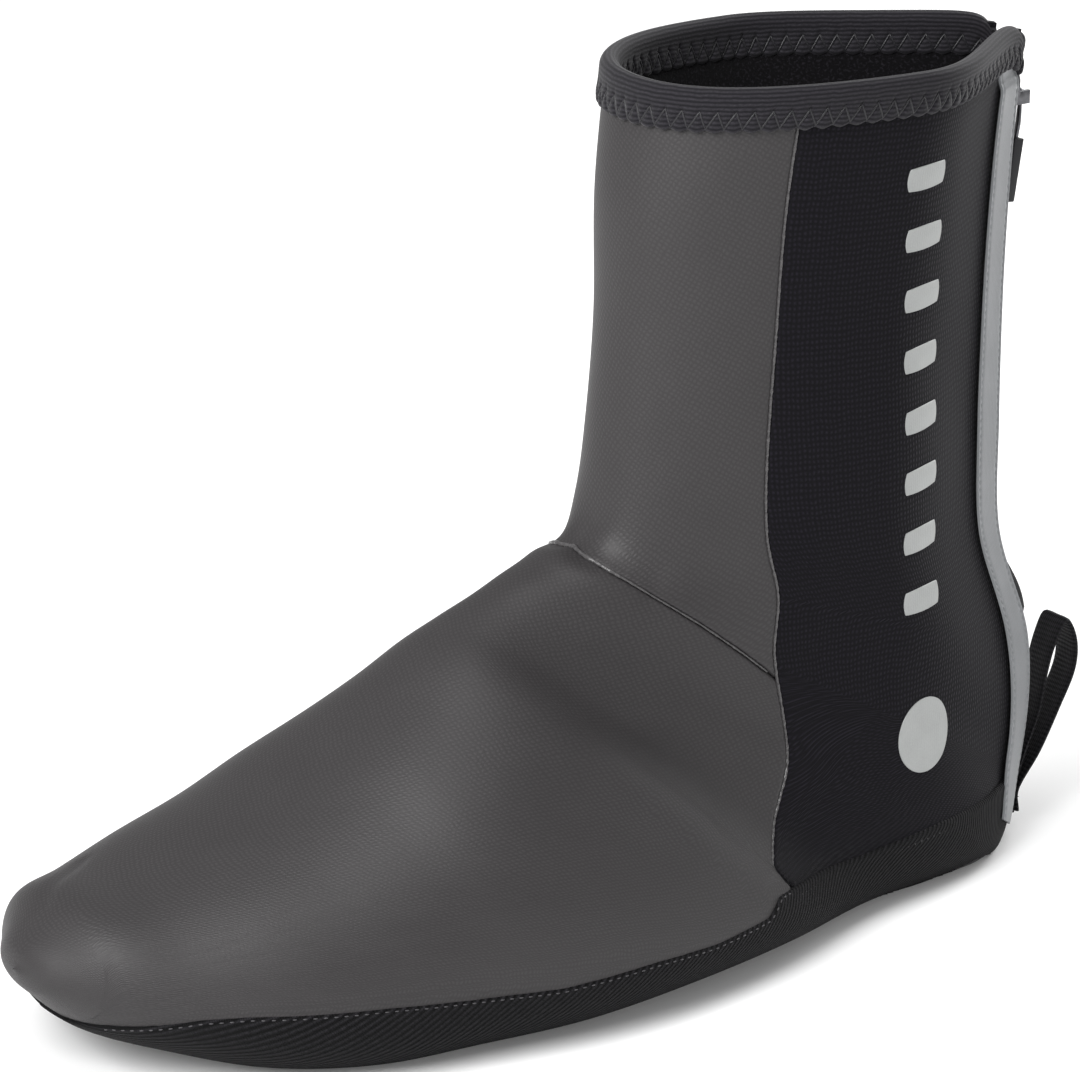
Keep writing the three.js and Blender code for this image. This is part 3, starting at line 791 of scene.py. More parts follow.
# %% Material: stretch jersey tape
def stretch_jersey(name, coordinates_of, dark, light):
    material, tree, shader = new_material(
        name, Roughness=0.85, Specular_IOR_Level=0.12, Sheen_Weight=0.12, Sheen_Roughness=0.5,
    )
    where = coordinates_of(tree)
    ribs = cloth_ribs(tree, where, 1.1 * MM, 90, distortion=1.5)
    fuzz = add_node(
        tree, "ShaderNodeTexNoise",
        {"Vector": where, "Scale": 1 / (0.8 * MM), "Detail": 2, "Roughness": 0.6},
    ).outputs["Fac"]
    lit = add_node(tree, "ShaderNodeMath", {0: ribs, 1: fuzz}, operation="MULTIPLY").outputs[0]
    colour = add_node(
        tree, "ShaderNodeMix", {0: lit, 6: linear(dark), 7: linear(light)}, data_type="RGBA",
    ).outputs[2]
    tree.links.new(colour, shader.inputs["Base Color"])
    bump = add_node(tree, "ShaderNodeBump", {"Height": lit, "Distance": 0.15 * MM, "Strength": 1})
    tree.links.new(bump.outputs[0], shader.inputs["Normal"])
    return material


def on_uv(tree):
    return add_node(tree, "ShaderNodeUVMap", uv_map="UVMap").outputs[0]


def on_object(tree):
    return add_node(tree, "ShaderNodeTexCoord").outputs["Object"]


binding_tape = stretch_jersey("elastane_jersey_tape", on_uv, "#131216", "#37353a")
heel_tape_cloth = stretch_jersey("elastane_heel_tape", on_object, "#0d0d0f", "#2a2a2d")

# %% [markdown]
# Sewing thread is filament polyester: smoother than the cloth, so each stitch catches a small glint.

# %% Material: polyester thread
def sewing_thread(name, colour, roughness):
    material, tree, shader = new_material(
        name, Roughness=roughness, Specular_IOR_Level=0.4, Sheen_Weight=0.1,
    )
    twist = add_node(
        tree, "ShaderNodeTexNoise",
        {"Vector": on_object(tree), "Scale": 1 / (0.25 * MM), "Detail": 1, "Roughness": 0.6},
    ).outputs["Fac"]
    tone = add_node(
        tree, "ShaderNodeMix",
        {0: twist, 6: linear(colour[0]), 7: linear(colour[1])}, data_type="RGBA",
    ).outputs[2]
    tree.links.new(tone, shader.inputs["Base Color"])
    bump = add_node(tree, "ShaderNodeBump", {"Height": twist, "Distance": 0.06 * MM, "Strength": 1})
    tree.links.new(bump.outputs[0], shader.inputs["Normal"])
    return material


thread_black = sewing_thread("black_polyester_thread", ("#0a0a0c", "#222126"), 0.4)
thread_grey = sewing_thread("grey_polyester_thread", ("#6a6c6e", "#96989a"), 0.5)
thread_charcoal = sewing_thread("charcoal_polyester_thread", ("#2a292b", "#4d4b4e"), 0.5)

# %% [markdown]
# Reflective tape is woven polyester with glass beads set in a grey resin. In soft light it is a
# plain satin grey; the beads give it a very fine sparkle and handling leaves it cloudy.

# %% Material: glass-bead tape
def glass_bead_tape(name, dark, light):
    material, tree, shader = new_material(
        name, Roughness=0.42, Specular_IOR_Level=0.5, Metallic=0.15,
    )
    where = on_uv(tree)
    cloud = add_node(
        tree, "ShaderNodeTexNoise",
        {"Vector": where, "Scale": 1 / (9 * MM), "Detail": 3, "Roughness": 0.6},
    ).outputs["Fac"]
    beads = add_node(
        tree, "ShaderNodeTexNoise",
        {"Vector": where, "Scale": 1 / (0.5 * MM), "Detail": 1, "Roughness": 0.6},
    ).outputs["Fac"]
    share = add_node(tree, "ShaderNodeMath", {0: cloud, 1: 0.6, 2: 0.0}, operation="MULTIPLY_ADD")
    share = add_node(
        tree, "ShaderNodeMath", {0: beads, 1: 0.4, 2: share.outputs[0]}, operation="MULTIPLY_ADD",
    ).outputs[0]
    colour = add_node(
        tree, "ShaderNodeMix", {0: share, 6: linear(dark), 7: linear(light)}, data_type="RGBA",
    ).outputs[2]
    tree.links.new(colour, shader.inputs["Base Color"])
    weave = cloth_ribs(tree, where, 0.9 * MM, 0, distortion=1.0)
    height = add_node(
        tree, "ShaderNodeMath", {0: weave, 1: 0.4, 2: beads}, operation="MULTIPLY_ADD",
    ).outputs[0]
    bump = add_node(tree, "ShaderNodeBump", {"Height": height, "Distance": 0.05 * MM, "Strength": 1})
    tree.links.new(bump.outputs[0], shader.inputs["Normal"])
    return material


reflective_silver = glass_bead_tape("glass_bead_tape", "#696b6d", "#828487")
reflective_print = glass_bead_tape("glass_bead_print", "#8d8f8e", "#adafae")

# %% [markdown]
# The zip's tapes, and the webbing of the pull loop, are woven polyester. Tape is a fine herringbone,
# and webbing shows a strong rib straight across.

# %% Material: woven polyester
def woven_polyester(name, pitch, turn, depth, colours):
    material, tree, shader = new_material(name, Roughness=0.7, Specular_IOR_Level=0.2)
    where = on_uv(tree)
    ribs = cloth_ribs(tree, where, pitch, turn, distortion=0.4)
    yarn = cloth_ribs(tree, where, 0.75 * MM, turn + 90, distortion=1.0)
    weave = add_node(
        tree, "ShaderNodeMath", {0: yarn, 1: 0.3, 2: ribs}, operation="MULTIPLY_ADD",
    ).outputs[0]
    share = add_node(tree, "ShaderNodeMapRange", {"Value": weave, "From Max": 1.3}).outputs[0]
    colour = add_node(
        tree, "ShaderNodeMix", {0: share, 6: linear(colours[0]), 7: linear(colours[1])},
        data_type="RGBA",
    ).outputs[2]
    tree.links.new(colour, shader.inputs["Base Color"])
    bump = add_node(tree, "ShaderNodeBump", {"Height": weave, "Distance": depth, "Strength": 1})
    tree.links.new(bump.outputs[0], shader.inputs["Normal"])
    return material


zip_cloth = woven_polyester("woven_zip_tape", 0.8 * MM, 45, 0.12 * MM, ("#060607", "#1b1b1e"))
webbing = woven_polyester("ribbed_webbing", 1.3 * MM, 90, 0.3 * MM, ("#050506", "#201f23"))

# %% [markdown]
# Three hard materials are left. The coil is drawn nylon, smooth and black. The slider and its link
# are die-cast zinc, plated in dark nickel: metallic, a little uneven from casting, rubbed brighter in
# spots. The tab is soft PVC, moulded in a spark-eroded tool that leaves an even matte grain.

# %% Materials: nylon, dark nickel, moulded PVC
def hard_material(name, colours, size, roughness, depth, **shader_inputs):
    material, tree, shader = new_material(name, **shader_inputs)
    grain = add_node(
        tree, "ShaderNodeTexNoise",
        {"Vector": on_object(tree), "Scale": 1 / size, "Detail": 3, "Roughness": 0.6},
    ).outputs["Fac"]
    colour = add_node(
        tree, "ShaderNodeMix", {0: grain, 6: linear(colours[0]), 7: linear(colours[1])},
        data_type="RGBA",
    ).outputs[2]
    tree.links.new(colour, shader.inputs["Base Color"])
    gloss = add_node(
        tree, "ShaderNodeMapRange", {"Value": grain, "To Min": roughness[0], "To Max": roughness[1]},
    ).outputs[0]
    tree.links.new(gloss, shader.inputs["Roughness"])
    bump = add_node(tree, "ShaderNodeBump", {"Height": grain, "Distance": depth, "Strength": 1})
    tree.links.new(bump.outputs[0], shader.inputs["Normal"])
    return material


coil_nylon = hard_material(
    "drawn_nylon", ("#0a0a0b", "#161618"), 0.8 * MM, (0.3, 0.4), 0.01 * MM, Specular_IOR_Level=0.4,
)
dark_nickel = hard_material(
    "dark_nickel_plate", ("#3e3e41", "#77777a"), 1.6 * MM, (0.25, 0.42), 0.03 * MM, Metallic=1.0,
)
moulded_pvc = hard_material(
    "moulded_pvc", ("#1f1f21", "#2c2c2f"), 0.5 * MM, (0.5, 0.62), 0.03 * MM, Specular_IOR_Level=0.3,
)

# %% [markdown]
# First the front of the shaft and the vamp. Between the side seams the two are one family: their
# edges follow the same lines, so they meet in one groove, with the rolled edge of each catching a
# thin line of light.

# %% Front panels
NEOPRENE = 2.6 * MM
RIM_DROP = 3.2 * MM


def rim_dip(angle):
    """How far the collar drops towards the zip, where the binding is turned down."""
    away = np.radians(168) - np.abs(angle)
    return 4.2 * MM * np.exp(-np.maximum(away, 0) / 0.16) + 0.5 * MM * np.sin(3 * angle + 0.6)


def place_at_height(height, angle):
    """The place at which the outside has a height, for each angle."""
    low, high = np.zeros(np.shape(angle)), np.full(np.shape(angle), 3.0)
    for _ in range(HALVINGS):
        middle = (low + high) / 2
        above = outside(middle, angle)[..., 2] > height
        low, high = np.where(above, middle, low), np.where(above, high, middle)
    return low


def shaft_front_at(t, s):
    end = instep_place(s)
    angle_top = s * seam_angle(0)
    top = place_at_height(BOOT_HEIGHT - RIM_DROP - rim_dip(angle_top), angle_top)
    place = top + t * (end - top)
    return place, s * seam_angle(place)


shaft_front = laid_sheet(
    "shaft_front", 150, 130, shaft_front_at, panel_lift, seams=["left", "right", "end"],
)
thicken(shaft_front, NEOPRENE)
finish_piece(shaft_front, front_cloth, replaces=["upper"])


def vamp_at(t, s):
    start = instep_place(s)
    place = start + t * (LAST_ROW - start)
    return place, s * np.where(s > 0, front_edge(1, place), front_edge(-1, place))


vamp = laid_sheet(
    "vamp", 210, 150, vamp_at, panel_lift, bias=(0.5, 0.75), seams=["left", "right", "start"],
)
thicken(vamp, NEOPRENE)
finish_piece(vamp, front_cloth)

# %% [markdown]
# The side panels run from the collar to the sole, narrow as they pass under the ankle, and end in a
# point where the side seam meets the sole.

# %% Side panels
def side_panel_at(side):
    def where(t, s):
        low = place_at_height(BOOT_HEIGHT - RIM_DROP - rim_dip(1.0 + s), side * (1.8 + 0.8 * s))
        place = low + t * (notch[side] - low)
        near = front_edge(side, place)
        far = np.minimum(limit("zip", side, place), under_sole(side, place))
        return place, side * (near + (s + 1) / 2 * np.maximum(far - near, 0))
    return where


side_panels = {}
for side, name in ((1, "side_panel_outer"), (-1, "side_panel_inner")):
    panel = laid_sheet(
        name, 190, 120, side_panel_at(side), panel_lift, bias=(0.4, 0.75), seams=["left", "right"],
    )
    thicken(panel, NEOPRENE)
    finish_piece(panel, side_cloth)
    side_panels[name] = panel


# %% [markdown]
# The sole's cloth wraps up round the uppers' edge and is open under the cleat and the heel. The
# openings are made in the flat sheet, before it gets its thickness: faces inside an outline are
# deleted, and the points left inside are drawn out to it, so the cut edge is clean.

# %% Sole cloth
SOLE_CLOTH = 2.4 * MM
SOLE_PROUD = 0.8 * MM
# Points above this height aren't on the underside. The zip's slot ends at its own height.
UNDERSIDE = 9 * MM
SLOT_FOOT = 14 * MM
SLOT_DEPTH = 40 * MM


def sole_at(t, s):
    place = sole_first + t * (sole_last - sole_first)
    low = limit("lap", 1, place)
    high = 2 * math.pi - limit("lap", -1, place)
    return place, low + (s + 1) / 2 * (high - low)


def sole_lift(points, ways):
    edge = np.minimum(ways["left"][0], ways["right"][0])
    return SOLE_PROUD - roll_in(edge, 1.5 * MM)


sole_sheet = laid_sheet(
    "sole_cloth", 230, 190, sole_at, sole_lift, bias=(0.3, 0.5), seams=["left", "right"],
)


def at_forward(forward):
    return toe_x + BOOT_LENGTH - forward


def stadium(forward, length, width):
    """An outline with round ends. It gives points' distances to it, and the ways out of it."""
    def outline(points):
        centre = np.array([at_forward(forward), heel_middle_y])
        off = points[:, :2] - centre
        off[:, 0] -= np.clip(off[:, 0], -(length - width) / 2, (length - width) / 2)
        far = np.maximum(np.linalg.norm(off, axis=1), 1e-9)
        out = np.concatenate([off / far[:, None], np.zeros((len(off), 1))], 1)
        return np.where(points[:, 2] < UNDERSIDE, far - width / 2, 1), out
    return outline


def zip_slot(points):
    """The same for the slot that lets the zip down to the heel's tape."""
    y = points[:, 1] - middle_y
    aside, below = np.abs(y) - ZIP_SLOT / 2, SLOT_FOOT - points[:, 2]
    out = np.where((aside > below)[:, None], np.sign(y)[:, None] * (0, 1, 0), (0, 0, -1))
    return np.where(points[:, 0] > at_forward(SLOT_DEPTH), np.maximum(aside, below), 1), out


def select_faces(piece, is_wanted):
    """Selects the faces that fit, then goes into edit mode."""
    for part in (*piece.data.vertices, *piece.data.edges):
        part.select = False
    for face in piece.data.polygons:
        face.select = bool(is_wanted(face))
    bpy.context.view_layer.objects.active = piece
    bpy.ops.object.mode_set(mode="EDIT")
    bpy.ops.mesh.select_mode(type="FACE")


def open_up(piece, outline):
    """Deletes a sheet's faces inside an outline and draws the rest of the inner points out to it."""
    points = np.array([vertex.co for vertex in piece.data.vertices])
    distance, out = outline(points)
    inside = distance < 0
    moved = np.where(inside[:, None], points - out * distance[:, None], points)
    piece.data.vertices.foreach_set("co", moved.ravel())
    select_faces(piece, lambda face: all(inside[corner] for corner in face.vertices))
    bpy.ops.mesh.delete(type="FACE")
    bpy.ops.object.mode_set(mode="OBJECT")


heel_low, heel_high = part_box("heel_binding")
heel_middle_y = (heel_low.y + heel_high.y) / 2
TAPE_ROOM = 2 * 7.3 * MM
open_up(sole_sheet, stadium(196 * MM, 60 * MM, 44 * MM))
open_up(sole_sheet, stadium(41 * MM, 54 * MM + TAPE_ROOM, 32 * MM + TAPE_ROOM))
open_up(sole_sheet, zip_slot)
print("the sole has", len(sole_sheet.data.polygons), "faces round its openings")
thicken(sole_sheet, SOLE_CLOTH)
finish_piece(sole_sheet, sole_cloth, replaces=["sole"])

# %% [markdown]
# A folded tape binds the raw edge of the collar. It is soft, 11 mm high on both sides, and rounds
# over the rim. Its section is a path: up the outer side, over a half circle, down the inner side.
# The zigzag stitches draw the tape in along their legs, and its lower edge bulges a little between
# them, which gives the row of small scallops.

# %% Collar binding
BINDING_HEIGHT = 11 * MM
BINDING_OUT = 1.5 * MM
BINDING_IN = -3.5 * MM
ZIGZAG_PITCH = 4.6 * MM
ZIGZAG_LOW = 0.9 * MM
ZIGZAG_HIGH = 5.2 * MM
rim_radius = (BINDING_OUT - BINDING_IN) / 2
side_height = BINDING_HEIGHT - rim_radius
binding_length = 2 * side_height + math.pi * rim_radius
collar_end = {side: float(limit("zip", side, 0.2)) for side in (1, -1)}


def flat_outward(place, angle):
    normal = outward(place, angle)
    normal[..., 2] = 0
    return normal / np.linalg.norm(normal, axis=-1)[..., None]


def binding_at(angle, v, lift):
    """Points and normals of the binding. v is the length along its section from the outer edge."""
    angle, v = np.broadcast_arrays(angle, v)
    turn = np.clip((v - side_height) / rim_radius, 0, math.pi)
    inner = v > side_height + math.pi * rim_radius
    height = np.where(
        inner, binding_length - v, np.minimum(v, side_height) + rim_radius * np.sin(turn),
    )
    out = (BINDING_OUT + BINDING_IN) / 2 + rim_radius * np.cos(turn)
    side_way = flat_outward(np.full(angle.shape, 0.2), angle)
    z = BOOT_HEIGHT - BINDING_HEIGHT - rim_dip(angle) + height
    base = outside(place_at_height(z, angle), angle)
    base[..., 2] = z
    normal = side_way * np.cos(turn)[..., None]
    normal[..., 2] = np.sin(turn)
    return base + side_way * out[..., None] + normal * np.asarray(lift)[..., None], normal


# The length round the collar, to space the stitches evenly
ring_angles = np.linspace(collar_end[1], -collar_end[-1], 1500)
ring_points, _ = binding_at(ring_angles, np.full(1500, 3 * MM), np.zeros(1500))
ring_length = path_lengths(ring_points, 0)
print("the collar is", round(float(ring_length[-1]) / MM), "mm round")


def zigzag(length):
    """The stitch line's height over the edge of the tape, at lengths round the collar."""
    share = np.abs((length / ZIGZAG_PITCH) % 1 - 0.5) * 2
    return ZIGZAG_LOW + (ZIGZAG_HIGH - ZIGZAG_LOW) * share


def binding_lift(length, v):
    leg_slope = ZIGZAG_PITCH / 2 / math.hypot(ZIGZAG_PITCH / 2, ZIGZAG_HIGH - ZIGZAG_LOW)
    lift = np.zeros(np.broadcast(length, v).shape)
    for from_edge in (v, binding_length - v):
        away = np.abs(from_edge - zigzag(length)) * leg_slope
        near = from_edge < ZIGZAG_HIGH + 2 * MM
        lift -= np.where(near, 0.6 * MM * np.exp(-((away / (0.55 * MM)) ** 2)), 0)
        lift -= roll_in(from_edge, 1.0 * MM)
        lift += 0.25 * MM * np.exp(-((from_edge - 2.4 * MM) / (2 * MM)) ** 2)
    return lift


s = np.linspace(0, 1, 640)
v = (closer_at_ends(48, 0.45) + 1) / 2 * binding_length
grid_length, grid_v = np.meshgrid(s * ring_length[-1], v)
grid_angle = np.interp(grid_length, ring_length, ring_angles)
points, normals = binding_at(grid_angle, grid_v, binding_lift(grid_length, grid_v))
scallop = 0.35 * MM * np.cos(grid_length / ZIGZAG_PITCH * 2 * math.pi)
for from_edge in (grid_v, binding_length - grid_v):
    points[..., 2] -= scallop * np.exp(-from_edge / (1.2 * MM))
binding = grid_piece("collar_binding_tape", points, np.stack([grid_length, grid_v], -1), normals)
apply_modifier(binding, "SOLIDIFY", thickness=0.9 * MM, offset=-1)
smooth(binding, 60)

# %% [markdown]
# A stitch is modelled once: a little ellipsoid on its side, with its ends bent down to where they
# dive into the cloth. A seam's thread is made of copies of it, each laid between two needle holes
# and turned to the cloth, and joined into one mesh.

# %% One stitch, and seams made of it
bpy.ops.mesh.primitive_uv_sphere_add(segments=6, ring_count=7, radius=0.5)
stitch = bpy.context.object
bpy.ops.object.mode_set(mode="EDIT")
bpy.ops.transform.rotate(value=math.radians(90), orient_axis="Y", center_override=(0, 0, 0))
bpy.ops.transform.resize(value=(1.1, 1, 1))
bpy.ops.object.mode_set(mode="OBJECT")
for reach, drop in ((0.25, 0.12), (0.42, 0.25)):
    for vertex in stitch.data.vertices:
        vertex.select = abs(vertex.co.x) > reach
    bpy.ops.object.mode_set(mode="EDIT")
    bpy.ops.mesh.select_mode(type="VERT")
    bpy.ops.transform.translate(value=(0, 0, -drop))
    bpy.ops.object.mode_set(mode="OBJECT")
bpy.ops.object.shade_smooth()
one_stitch = stitch.data
bpy.data.objects.remove(stitch)
print("one stitch has", len(one_stitch.polygons), "faces")


def sewn(name, starts, ends, normals, thread):
    """Copies the stitch from each start to its end, with the thread's thickness."""
    joined = bmesh.new()
    for start, end, normal in zip(*(np.asarray(a, float).reshape(-1, 3) for a in (starts, ends, normals))):
        along = end - start
        length = np.linalg.norm(along)
        aside = np.cross(normal, along / length)
        aside /= np.linalg.norm(aside)
        up = np.cross(along / length, aside)
        turned = np.eye(4)
        turned[:3] = np.stack([along, aside * thread, up * thread, (start + end) / 2], 1)
        copy = one_stitch.copy()
        copy.transform(Matrix(turned.tolist()))
        joined.from_mesh(copy)
        bpy.data.meshes.remove(copy)
    mesh = bpy.data.meshes.new(name)
    joined.to_mesh(mesh)
    joined.free()
    piece = bpy.data.objects.new(name, mesh)
    bpy.context.scene.collection.objects.link(piece)
    return piece


def between(values, far, where):
    """Rows of values at some lengths, where far holds the length at each row."""
    return np.stack([np.interp(where, far, values[:, k]) for k in range(3)], -1)


def running_stitch(points, normals, length, gap):
    """Starts, ends and normals of stitches of one length along a line of points."""
    far = path_lengths(points, 0)
    count = max(int(far[-1] / (length + gap)), 1)
    begin = np.arange(count) * far[-1] / count
    return (
        between(points, far, begin), between(points, far, begin + length),
        between(normals, far, begin + length / 2),
    )


def zigzag_points(v_low, v_high, from_inside):
    """The needle's holes round the collar, low and high in turn."""
    count = int(ring_length[-1] / ZIGZAG_PITCH * 2)
    length = np.arange(count + 1) * ZIGZAG_PITCH / 2
    v = np.where(np.arange(count + 1) % 2, v_low, v_high)
    if from_inside:
        v = binding_length - v
    return binding_at(np.interp(length, ring_length, ring_angles), v, np.full(count + 1, -0.1 * MM))


THREAD = 0.78 * MM
for from_inside, name in ((False, "collar_stitches_outside"), (True, "collar_stitches_inside")):
    holes, ways = zigzag_points(ZIGZAG_LOW, ZIGZAG_HIGH, from_inside)
    stitches = sewn(name, holes[:-1], holes[1:], (ways[:-1] + ways[1:]) / 2, THREAD)
    finish_piece(stitches, thread_black)
finish_piece(binding, binding_tape, replaces=["collar_binding"])

# %% [markdown]
# The lining is one more sheet on the last, under the panels. It is seen through the collar.

# %% Lining
def lining_at(t, s):
    place = 0.25 + t * (LAST_ROW - 0.25)
    edge = {
        side: np.minimum(limit("zip", side, place), under_sole(side, place)) for side in (1, -1)
    }
    return place, s * np.where(s > 0, edge[1], edge[-1])


def lining_lift(points, ways):
    return -NEOPRENE + 0.1 * MM + crease_lift(points)


lining = laid_sheet("lining", 90, 80, lining_at, lining_lift, bias=(0.3, 0.3))
thicken(lining, 0.5 * MM)
finish_piece(lining, lining_cloth)

# %% [markdown]
# Silver reflective tape runs down the outer side of the zip, from the binding to the heel's tape. It
# is a woven band with glass beads glued on, 13 mm wide, sewn along both edges. The thread draws small
# dimples into it, and between them it isn't quite flat.

# %% Reflective tape
TAPE_WIDTH = 13 * MM
TAPE_EDGE = 0.6 * MM
TAPE_TOP = 1.75 * MM
TAPE_END_HEIGHT = 4.5 * MM
TAPE_STITCH = 2.1 * MM
TAPE_SWERVE = 4.5 * MM


def beside_tape(points):
    """True where points are past the tape's near edge, which swerves from the zip at its foot."""
    foot = np.clip((28 * MM - points[..., 2]) / (24 * MM), 0, 1)
    edge = ZIP_SLOT / 2 + TAPE_EDGE + TAPE_SWERVE * foot**2 * (3 - 2 * foot)
    return np.abs(points[..., 1] - middle_y) > edge


tape_near = angle_where(beside_tape, MANY_PLACES, 1, math.pi / 2)
near_points = outside(MANY_PLACES, tape_near)
tape_far = angle_where(
    lambda points: np.linalg.norm(points - near_points, axis=-1) > TAPE_WIDTH,
    MANY_PLACES, 1, 1.0,
)
tape_far = np.minimum(tape_far, tape_near)


def place_down(height):
    """The place at which the back line has a height."""
    back = outside(MANY_PLACES[:600], math.pi)[:, 2]
    return float(np.interp(-height, -back, MANY_PLACES[:600]))


tape_first = place_down(BOOT_HEIGHT - BINDING_HEIGHT - 0.5 * MM)
tape_last = place_down(TAPE_END_HEIGHT)


def tape_at(t, s):
    place = tape_first + t * (tape_last - tape_first)
    near, far = np.interp(place, MANY_PLACES, tape_near), np.interp(place, MANY_PLACES, tape_far)
    return place, far + (s + 1) / 2 * (near - far)


def tape_lift(points, ways):
    lift = TAPE_TOP - 1.3 * MM * np.exp(-((ways["start"][0] / (4 * MM)) ** 4))
    for edge in ("left", "right"):
        distance, along = ways[edge]
        lift -= roll_in(distance, 0.6 * MM)
        hole = np.abs((along / TAPE_STITCH) % 1 - 0.5) * TAPE_STITCH
        away = np.hypot(distance - 1.3 * MM, hole)
        lift -= 0.28 * MM * np.exp(-((away / (0.6 * MM)) ** 2))
        lift -= 0.12 * MM * np.exp(-(((distance - 1.3 * MM) / (0.9 * MM)) ** 2))
    return lift + 0.8 * crease_lift(points)


tape = laid_sheet(
    "reflective_tape", 420, 44, tape_at, tape_lift, bias=(0.1, 0.3),
    seams=["left", "right", "start"],
)
thicken(tape, 0.7 * MM)
finish_piece(tape, reflective_silver, replaces=["reflective_strip"])
tape_places = np.linspace(tape_first + 0.18, tape_last - 0.04, 400)
tape_rows = []
for share in (1.3 * MM / TAPE_WIDTH, 1 - 1.3 * MM / TAPE_WIDTH):
    near, far = (np.interp(tape_places, MANY_PLACES, line) for line in (tape_near, tape_far))
    line_angles = far + share * (near - far)
    line = outside(tape_places, line_angles)
    line_normals = outward(tape_places, line_angles)
    line = line + line_normals * (TAPE_TOP - 0.15 * MM + 0.8 * crease_lift(line))[:, None]
    tape_rows.append(running_stitch(line, line_normals, 1.35 * MM, 0.75 * MM))
tape_stitches = sewn(
    "tape_stitches", *(np.concatenate(parts) for parts in zip(*tape_rows)), 0.42 * MM,
)
finish_piece(tape_stitches, thread_grey)

# %% [markdown]
# The zip closes the back. Its two woven tapes lie in the slot between the side panels, and the coil
# lies on them. A closed nylon coil shows as two rows of small loops that mesh in the middle, so one
# loop is a stretched ellipsoid, and its copies alternate from side to side, 1.5 mm apart.

# %% Zip tapes and coil
ZIP_DEPTH = 1.6 * MM
ZIP_TAPE_CLOTH = 0.9 * MM
COIL_WIDTH = 4.6 * MM
COIL_PITCH = 1.5 * MM
zip_first = place_down(BOOT_HEIGHT - 5 * MM)
zip_last = place_down(14.3 * MM)
zip_places = np.linspace(zip_first, zip_last, 300)
zip_line, zip_normals = outside(zip_places, math.pi), outward(zip_places, math.pi)
zip_line[:, 1] = middle_y
zip_normals[:, 1] = 0
zip_normals /= np.linalg.norm(zip_normals, axis=1)[:, None]
zip_length = path_lengths(zip_line, 0)
for side, name in ((-1, "outer"), (1, "inner")):
    across = np.linspace(1.2 * MM, ZIP_SLOT / 2 + 0.6 * MM, 14)
    points = zip_line[:, None] - zip_normals[:, None] * ZIP_DEPTH + np.zeros((300, 14, 1))
    points[..., 1] += side * across
    uv = np.stack(np.broadcast_arrays(across, zip_length[:, None]), -1)
    zip_tape = grid_piece(f"zip_tape_{name}_cloth", points, uv, np.repeat(zip_normals[:, None], 14, 1))
    apply_modifier(zip_tape, "SOLIDIFY", thickness=ZIP_TAPE_CLOTH, offset=-1)
    smooth(zip_tape)
    finish_piece(zip_tape, zip_cloth, replaces=[f"zip_tape_{name}"])

loop_at = np.arange(0.5 * MM, zip_length[-1], COIL_PITCH / 2)
loop_middles = between(zip_line, zip_length, loop_at)
loop_normals = between(zip_normals, zip_length, loop_at)
loop_middles -= loop_normals * (ZIP_DEPTH - 0.55 * MM)
sides = np.where(np.arange(len(loop_at)) % 2, 1, -1)[:, None] * np.array([[0, 1, 0]])
coil = sewn(
    "zip_coil_loops", loop_middles - sides * 0.5 * MM, loop_middles + sides * COIL_WIDTH / 2,
    loop_normals, 1.0 * MM,
)
finish_piece(coil, coil_nylon, replaces=["zip_coil"])

# %% [markdown]
# A cord, a bead or a strip of webbing is a small section carried along a path. The path gives the
# direction at each point, a side vector says which way the section's width lies, and the ring of
# points is laid out there. The ends are closed with faces.

# %% Sections carried along a path
def smooth_path(corners, steps):
    """A Catmull-Rom curve through some points."""
    corners = np.asarray(corners, float)
    padded = np.concatenate([
        [2 * corners[0] - corners[1]], corners, [2 * corners[-1] - corners[-2]],
    ])
    place = np.linspace(0, len(corners) - 1, steps)
    i = np.clip(np.floor(place).astype(int), 0, len(corners) - 2)
    t = (place - i)[:, None]
    a, b, c, d = (padded[i + k] for k in range(4))
    return b + 0.5 * t * (c - a + t * (2 * a - 5 * b + 4 * c - d + t * (3 * (b - c) + d - a)))


def carried(name, path, sides, section, grow=None):
    """Carries a closed section, points of width and height, along a path."""
    ahead = np.gradient(path, axis=0)
    ahead /= np.linalg.norm(ahead, axis=1)[:, None]
    up = np.cross(ahead, sides)
    up /= np.linalg.norm(up, axis=1)[:, None]
    aside = np.cross(up, ahead)
    grow = np.ones(len(path)) if grow is None else grow
    ring = np.concatenate([section, section[:1]])
    off = aside[:, None] * ring[None, :, :1] + up[:, None] * ring[None, :, 1:]
    points = path[:, None] + off * grow[:, None, None]
    uv = np.stack(np.broadcast_arrays(path_lengths(ring, 0)[None], path_lengths(path, 0)[:, None]), -1)
    piece = grid_piece(name, points, uv, off)
    merge_doubles(piece)
    bpy.ops.object.mode_set(mode="EDIT")
    bpy.ops.mesh.select_all(action="DESELECT")
    bpy.ops.mesh.select_mode(type="EDGE")
    bpy.ops.mesh.select_non_manifold()
    bpy.ops.mesh.fill()
    bpy.ops.mesh.select_all(action="SELECT")
    bpy.ops.mesh.normals_make_consistent(inside=False)
    bpy.ops.object.mode_set(mode="OBJECT")
    smooth(piece, 50)
    return piece


def oval(width, height, count=8):
    turn = np.linspace(0, 2 * math.pi, count, endpoint=False)
    return np.stack([width / 2 * np.cos(turn), height / 2 * np.sin(turn)], -1)


# %% [markdown]
# The coated neoprene is glued as well as sewn. Along the instep seam the glue and the drawn cloth
# stand up as an uneven little ridge, glossy and thick on the shin, broken and thin at the sides. On
# the side seams only a speckled bead of it shows.

# %% Material and beads: seam glue
seam_glue = hard_material(
    "rubber_seam_glue", ("#201f20", "#5c5a5b"), 0.9 * MM, (0.1, 0.42), 0.14 * MM,
    Specular_IOR_Level=0.5,
)


